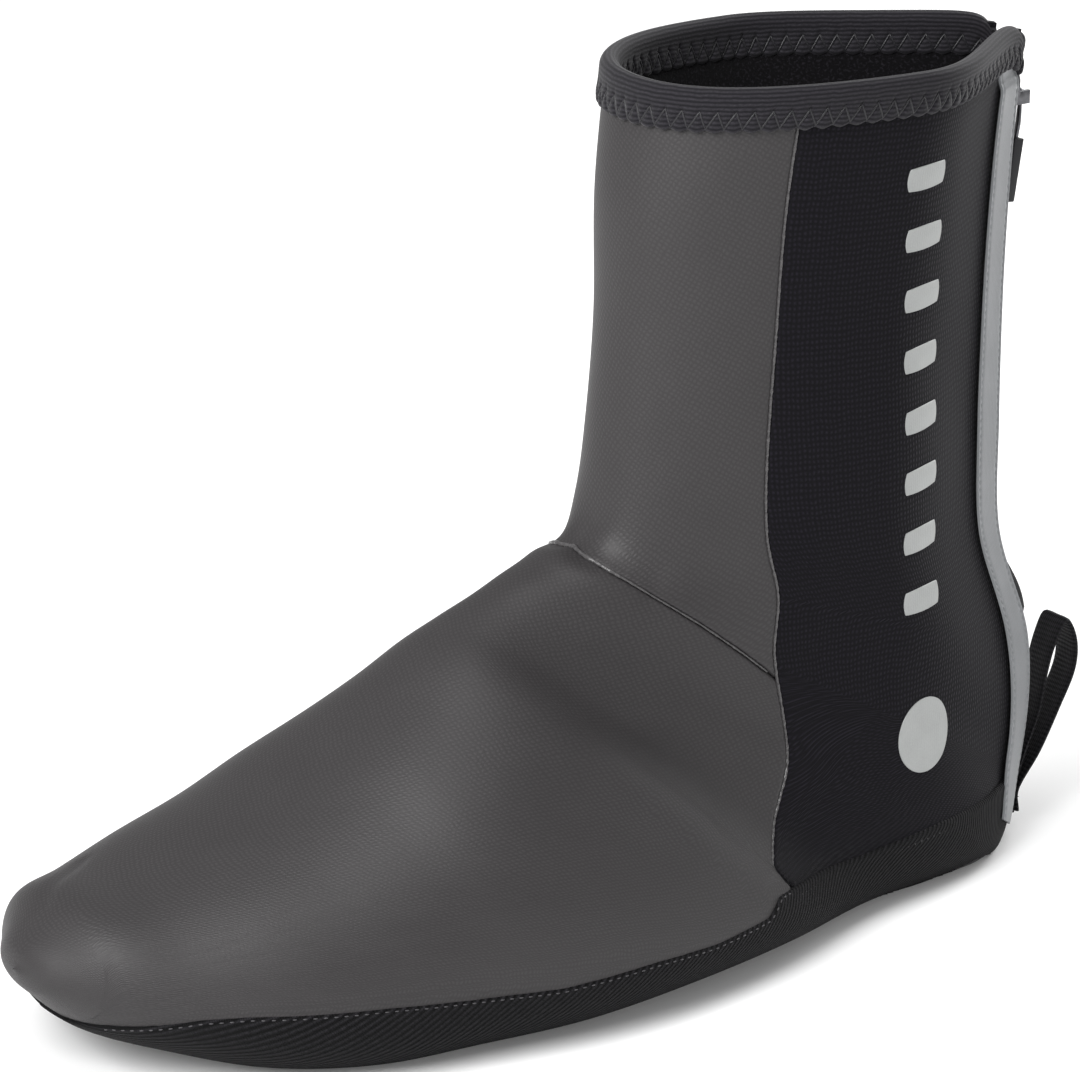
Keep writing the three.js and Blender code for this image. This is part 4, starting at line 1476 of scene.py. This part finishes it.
def uneven(length, seed):
    """A slow random-looking wave from about 0 to 1 along a length in metres."""
    x = length / MM
    wave = np.sin(x * 1.9 + seed) + np.sin(x * 0.83 + 2 * seed) + np.sin(x * 3.1 + 3 * seed)
    return 0.5 + wave / 6


share = np.linspace(-0.97, 0.97, 520)
bead_place = instep_place(share)
bead_angle = share * seam_angle(bead_place)
line = outside(bead_place, bead_angle)
normals = outward(bead_place, bead_angle)
line += normals * (crease_lift(line) - 0.25 * MM)[:, None]
far = path_lengths(line, 0)
line += normals * (0.15 * MM * uneven(far, 1.0))[:, None]
ridge = np.exp(-((share / 0.42) ** 4))
grow = (0.45 + 0.75 * ridge) * (0.75 + 0.5 * uneven(far, 2.0))
bead = carried("instep_seam_ridge", line, np.cross(normals, np.gradient(line, axis=0)),
               oval(1.15 * MM, 1.1 * MM), grow)
finish_piece(bead, seam_glue)

for side, name in ((1, "outer"), (-1, "inner")):
    bead_place = np.linspace(0.2, notch[side] - 0.05, 620)
    bead_angle = side * seam_angle(bead_place)
    line, normals = outside(bead_place, bead_angle), outward(bead_place, bead_angle)
    far = path_lengths(line, 0)
    line += normals * (crease_lift(line) - 0.62 * MM + 0.12 * MM * uneven(far, side))[:, None]
    bead = carried(f"side_seam_bead_{name}", line, np.cross(normals, np.gradient(line, axis=0)),
                   oval(0.9 * MM, 0.9 * MM, 6), 0.7 + 0.6 * uneven(far, 2 + side))
    finish_piece(bead, seam_glue)

# %% [markdown]
# The sole's cloth is sewn to the uppers all round. Under the black panels the thread runs in a
# close zigzag over the edge, and under the vamp it shows as short light stitches.

# %% Stitches along the sole
def lap_line(side, first, last):
    place = np.linspace(first, last, 900)
    angle = side * limit("lap", side, place)
    points, normals = outside(place, angle), outward(place, angle)
    ahead = np.gradient(points, axis=0)
    ahead /= np.linalg.norm(ahead, axis=1)[:, None]
    down = np.cross(normals, ahead)
    down *= np.where(down[:, 2:] > 0, -1, 1)
    return points, normals, down, path_lengths(points, 0)


HEM_PITCH = 2.4 * MM
for side, name in ((1, "outer"), (-1, "inner")):
    points, normals, down, far = lap_line(side, sole_first + 0.25, notch[side] - 0.03)
    holes = np.arange(int(far[-1] / HEM_PITCH * 2)) * HEM_PITCH / 2
    low = (np.arange(len(holes)) % 2)[:, None]
    at, normal, fall = (between(values, far, holes) for values in (points, normals, down))
    at = at + fall * (0.4 + 2.5 * low) * MM + normal * (0.25 + 0.55 * low) * MM
    hem = sewn(f"sole_zigzag_{name}", at[:-1], at[1:], normal[:-1], 0.45 * MM)
    finish_piece(hem, thread_black)
    points, normals, down, far = lap_line(side, notch[side] + 0.05, sole_last - 0.2)
    line = points + down * 0.9 * MM + normals * 0.75 * MM
    hem = sewn(f"vamp_hem_{name}", *running_stitch(line, normals, 1.0 * MM, 1.5 * MM), 0.38 * MM)
    finish_piece(hem, thread_charcoal)

# %% [markdown]
# The heel opening's tape is folded over the cut edge and stands on the floor. Its shape is the
# imported solid's, so a copy of that is merged, remeshed finely and smoothed until its corners are
# as soft as cloth.

# %% Heel tape
def copy_of(node, name):
    """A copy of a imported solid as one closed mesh, to be refined."""
    copy = bpy.data.objects.new(name, frame["nodes"][node].data.copy())
    bpy.context.scene.collection.objects.link(copy)
    merge_doubles(copy, 0.002 * MM)
    return copy


heel_tape = copy_of("heel_binding", "heel_tape")
apply_modifier(heel_tape, "REMESH", mode="VOXEL", voxel_size=0.55 * MM)
apply_modifier(heel_tape, "SMOOTH", factor=0.5, iterations=6)
smooth(heel_tape, 80)
finish_piece(heel_tape, heel_tape_cloth, replaces=["heel_binding"])

# %% [markdown]
# The pull loop is ribbed webbing, doubled and sewn at the foot of the zip. It isn't flat and stiff:
# it leans back, opens into a narrow eye, and twists a little at the top.

# %% Pull loop
LOOP = table_of("""
back  up    layer
0.00  0.00  0
0.00  0.13  0
0.17  0.31  0
0.40  0.52  0
0.50  0.71  0
0.61  0.87  0
0.79  0.99  0
0.96  0.87  0
0.95  0.71  0
0.72  0.52  0
0.34  0.31  1
0.00  0.13  1
0.00  0.00  1
""")
WEBBING = 1.4 * MM
loop_low, loop_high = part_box("heel_loop")
loop_corners = np.stack([
    loop_low.x + WEBBING / 2 + LOOP["back"] * 22 * MM + LOOP["layer"] * 1.7 * MM,
    np.full(13, (loop_low.y + loop_high.y) / 2), 5 * MM + LOOP["up"] * 52 * MM,
], -1)
loop_path = smooth_path(loop_corners, 220)
twist = 0.14 * np.sin(np.clip((loop_path[:, 2] - 15 * MM) / (45 * MM), 0, 1) * math.pi)
loop_sides = np.stack([twist, np.ones(220), np.zeros(220)], -1)
across = np.array([0.5, 0.42, 0.25, 0, -0.25, -0.42, -0.5])
thick = np.array([0.18, 0.44, 0.5, 0.46, 0.5, 0.44, 0.18])
webbing_section = np.concatenate([
    np.stack([across * 10 * MM, thick * WEBBING], -1),
    np.stack([-across * 10 * MM, -thick * WEBBING], -1),
])
loop = carried("pull_loop", loop_path, loop_sides, webbing_section)
finish_piece(loop, webbing, replaces=["heel_loop"])
knot_z = np.linspace(7, 12.5, 7) * MM
knot_x = loop_low.x + 1.7 * MM + WEBBING + 0.1 * MM
knot_y = middle_y + np.array([-1, 1])[:, None] * 3.6 * MM + 0.5 * MM * np.sin(np.arange(7) * 2.1)
knot_ends = [np.stack([np.full(7, knot_x), y, knot_z], -1) for y in knot_y]
knot = sewn("loop_bartack", *knot_ends, np.tile([1.0, 0, 0], (7, 1)), 0.55 * MM)
finish_piece(knot, thread_black)

# %% [markdown]
# The slider is die-cast: its edges are all slightly round, which is what a Bevel modifier adds to a
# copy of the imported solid. Its flat faces are joined first, so that only real edges get round.

# %% Slider
def bevelled(piece, width, segments=2):
    apply_modifier(
        piece, "BEVEL", width=width, segments=segments, limit_method="ANGLE",
        angle_limit=math.radians(35),
    )
    smooth(piece, 40)


slider = copy_of("zip_slider", "slider_body")
bpy.ops.object.mode_set(mode="EDIT")
bpy.ops.mesh.dissolve_limited(angle_limit=math.radians(1))
bpy.ops.object.mode_set(mode="OBJECT")
bevelled(slider, 0.22 * MM)
finish_piece(slider, dark_nickel, replaces=["zip_slider"])

# %% [markdown]
# The link is bent wire: an eye on the slider's pin, made from a torus, and two legs carried along
# lines. It is made upright at the origin, then leaned back a little and put on the pin.

# %% Link
pin_place = Vector(frame["record"]["behaviour"]["joints"][0]["pos_m"])
LEAN = 7
hang = Matrix.Translation(pin_place) @ Matrix.Rotation(math.radians(LEAN), 4, "Y")
LINK_WIDTH = 3.4 * MM
EYE_RADIUS = 1.65 * MM
bpy.ops.mesh.primitive_torus_add(
    major_segments=32, minor_segments=12, major_radius=EYE_RADIUS, minor_radius=0.5 * MM,
)
link = bpy.context.object
link.name = link.data.name = "link_wire"
bpy.ops.object.mode_set(mode="EDIT")
bpy.ops.transform.rotate(value=math.radians(90), orient_axis="X", center_override=(0, 0, 0))
bpy.ops.transform.resize(value=(1, LINK_WIDTH / (1.0 * MM), 1), center_override=(0, 0, 0))
bpy.ops.object.mode_set(mode="OBJECT")
smooth(link, 60)
legs = []
for side, bow in ((1, 0.1), (-1, 0.5)):
    corners = np.array([
        (0, 1.25, -1.5), (0, 1.3 + bow * 0.6, -4), (0, 1.3 + bow, -7), (0, 1.35 + bow * 0.4, -10),
        (0, 1.3, -13.5),
    ]) * MM * (1, side, 1)
    legs.append(carried(
        "link_leg", smooth_path(corners, 30), np.tile([1.0, 0, 0], (30, 1)), oval(1.1 * MM, 1.1 * MM),
    ))
pick(*legs, link)
bpy.ops.object.join()
link.data.transform(hang)
finish_piece(link, dark_nickel, body="zip_pull", replaces=["pull_link"])

# %% [markdown]
# The tab is a moulded slab. It starts as a cube. Inset faces give it a shallow dish on both sides,
# an extruded one gives it a slot for the link, and a bevel makes it soft to hold.

# %% Tab
TAB_WIDTH, TAB_THICK, TAB_LENGTH = 6 * MM, 3.2 * MM, 17 * MM
TAB_TOP = -11 * MM


bpy.ops.mesh.primitive_cube_add(size=1, location=(0, 0, 0))
tab = bpy.context.object
tab.name = tab.data.name = "tab_grip"
bpy.ops.object.mode_set(mode="EDIT")
bpy.ops.transform.resize(value=(TAB_THICK, TAB_WIDTH, TAB_LENGTH))
bpy.ops.transform.translate(value=(0, 0, TAB_TOP - TAB_LENGTH / 2))
bpy.ops.object.mode_set(mode="OBJECT")
for way in (1, -1):
    select_faces(tab, lambda face: face.normal.x * way > 0.9)
    bpy.ops.mesh.inset(thickness=1.0 * MM)
    bpy.ops.transform.translate(value=(-way * 0.35 * MM, 0, 0))
    bpy.ops.object.mode_set(mode="OBJECT")
select_faces(tab, lambda face: face.normal.z > 0.9)
bpy.ops.mesh.inset(thickness=0.7 * MM)
bpy.ops.mesh.extrude_region_move(TRANSFORM_OT_translate={"value": (0, 0, -2.2 * MM)})
bpy.ops.object.mode_set(mode="OBJECT")
TAB_FOOT = TAB_TOP - TAB_LENGTH * 0.9
select_faces(tab, lambda face: face.normal.z < -0.9 and face.center.z < TAB_FOOT)
bpy.ops.transform.resize(value=(0.8, 0.82, 1), center_override=(0, 0, 0))
bpy.ops.object.mode_set(mode="OBJECT")
bevelled(tab, 0.45 * MM, segments=3)
tab.data.transform(hang)
finish_piece(tab, moulded_pvc, body="zip_pull", replaces=["pull_tab"])

# %% [markdown]
# The outer side panel carries reflective print, so that the rider is seen from the side. Here it is
# a plain column of bars with a round dot below. Each mark starts as a flat grid in front of the
# panel, is laid on it by a Shrinkwrap modifier, and gets the thickness of a heat transfer.

# %% Reflective marks
def printed_mark(name, forward, up, width, height, roundness):
    a, b = np.meshgrid(np.linspace(-1, 1, 29), np.linspace(-1, 1, 21))
    x = a * np.sqrt(1 - roundness * b**2 / 2)
    z = b * np.sqrt(1 - roundness * a**2 / 2)
    points = np.stack([
        at_forward(forward) + x * width / 2, np.full(a.shape, middle_y - 70 * MM), up + z * height / 2,
    ], -1)
    mark = grid_piece(name, points, np.stack([a * width / 2, b * height / 2], -1),
                      np.zeros(points.shape) + (0, -1, 0))
    apply_modifier(
        mark, "SHRINKWRAP", target=side_panels["side_panel_outer"], wrap_method="PROJECT",
        use_project_y=True, use_positive_direction=True, use_negative_direction=False,
    )
    for vertex in mark.data.vertices:
        vertex.co.y -= 0.28 * MM
    apply_modifier(mark, "SOLIDIFY", thickness=0.4 * MM, offset=-1)
    bevelled(mark, 0.1 * MM, segments=1)
    return mark


BAR_HEIGHTS = np.linspace(198, 84, 8) * MM
marks = []
for number, up in enumerate(BAR_HEIGHTS):
    forward = np.interp(up, np.array([78, 123, 164, 201]) * MM, np.array([50.7, 52.0, 53.8, 57.0]) * MM)
    marks.append(printed_mark(f"bar_{number + 1}", forward, up, 15 * MM, 6.5 * MM, 0.35))
marks.append(printed_mark("dot", 48.5 * MM, 46 * MM, 20 * MM, 20 * MM, 1.0))
pick(*marks[1:], marks[0])
bpy.ops.object.join()
marks[0].name = marks[0].data.name = "reflective_marks"
finish_piece(marks[0], reflective_print)

# %% [markdown]
# Before the end, the dressed size is measured.

# %% Sizes and the end
low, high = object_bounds()
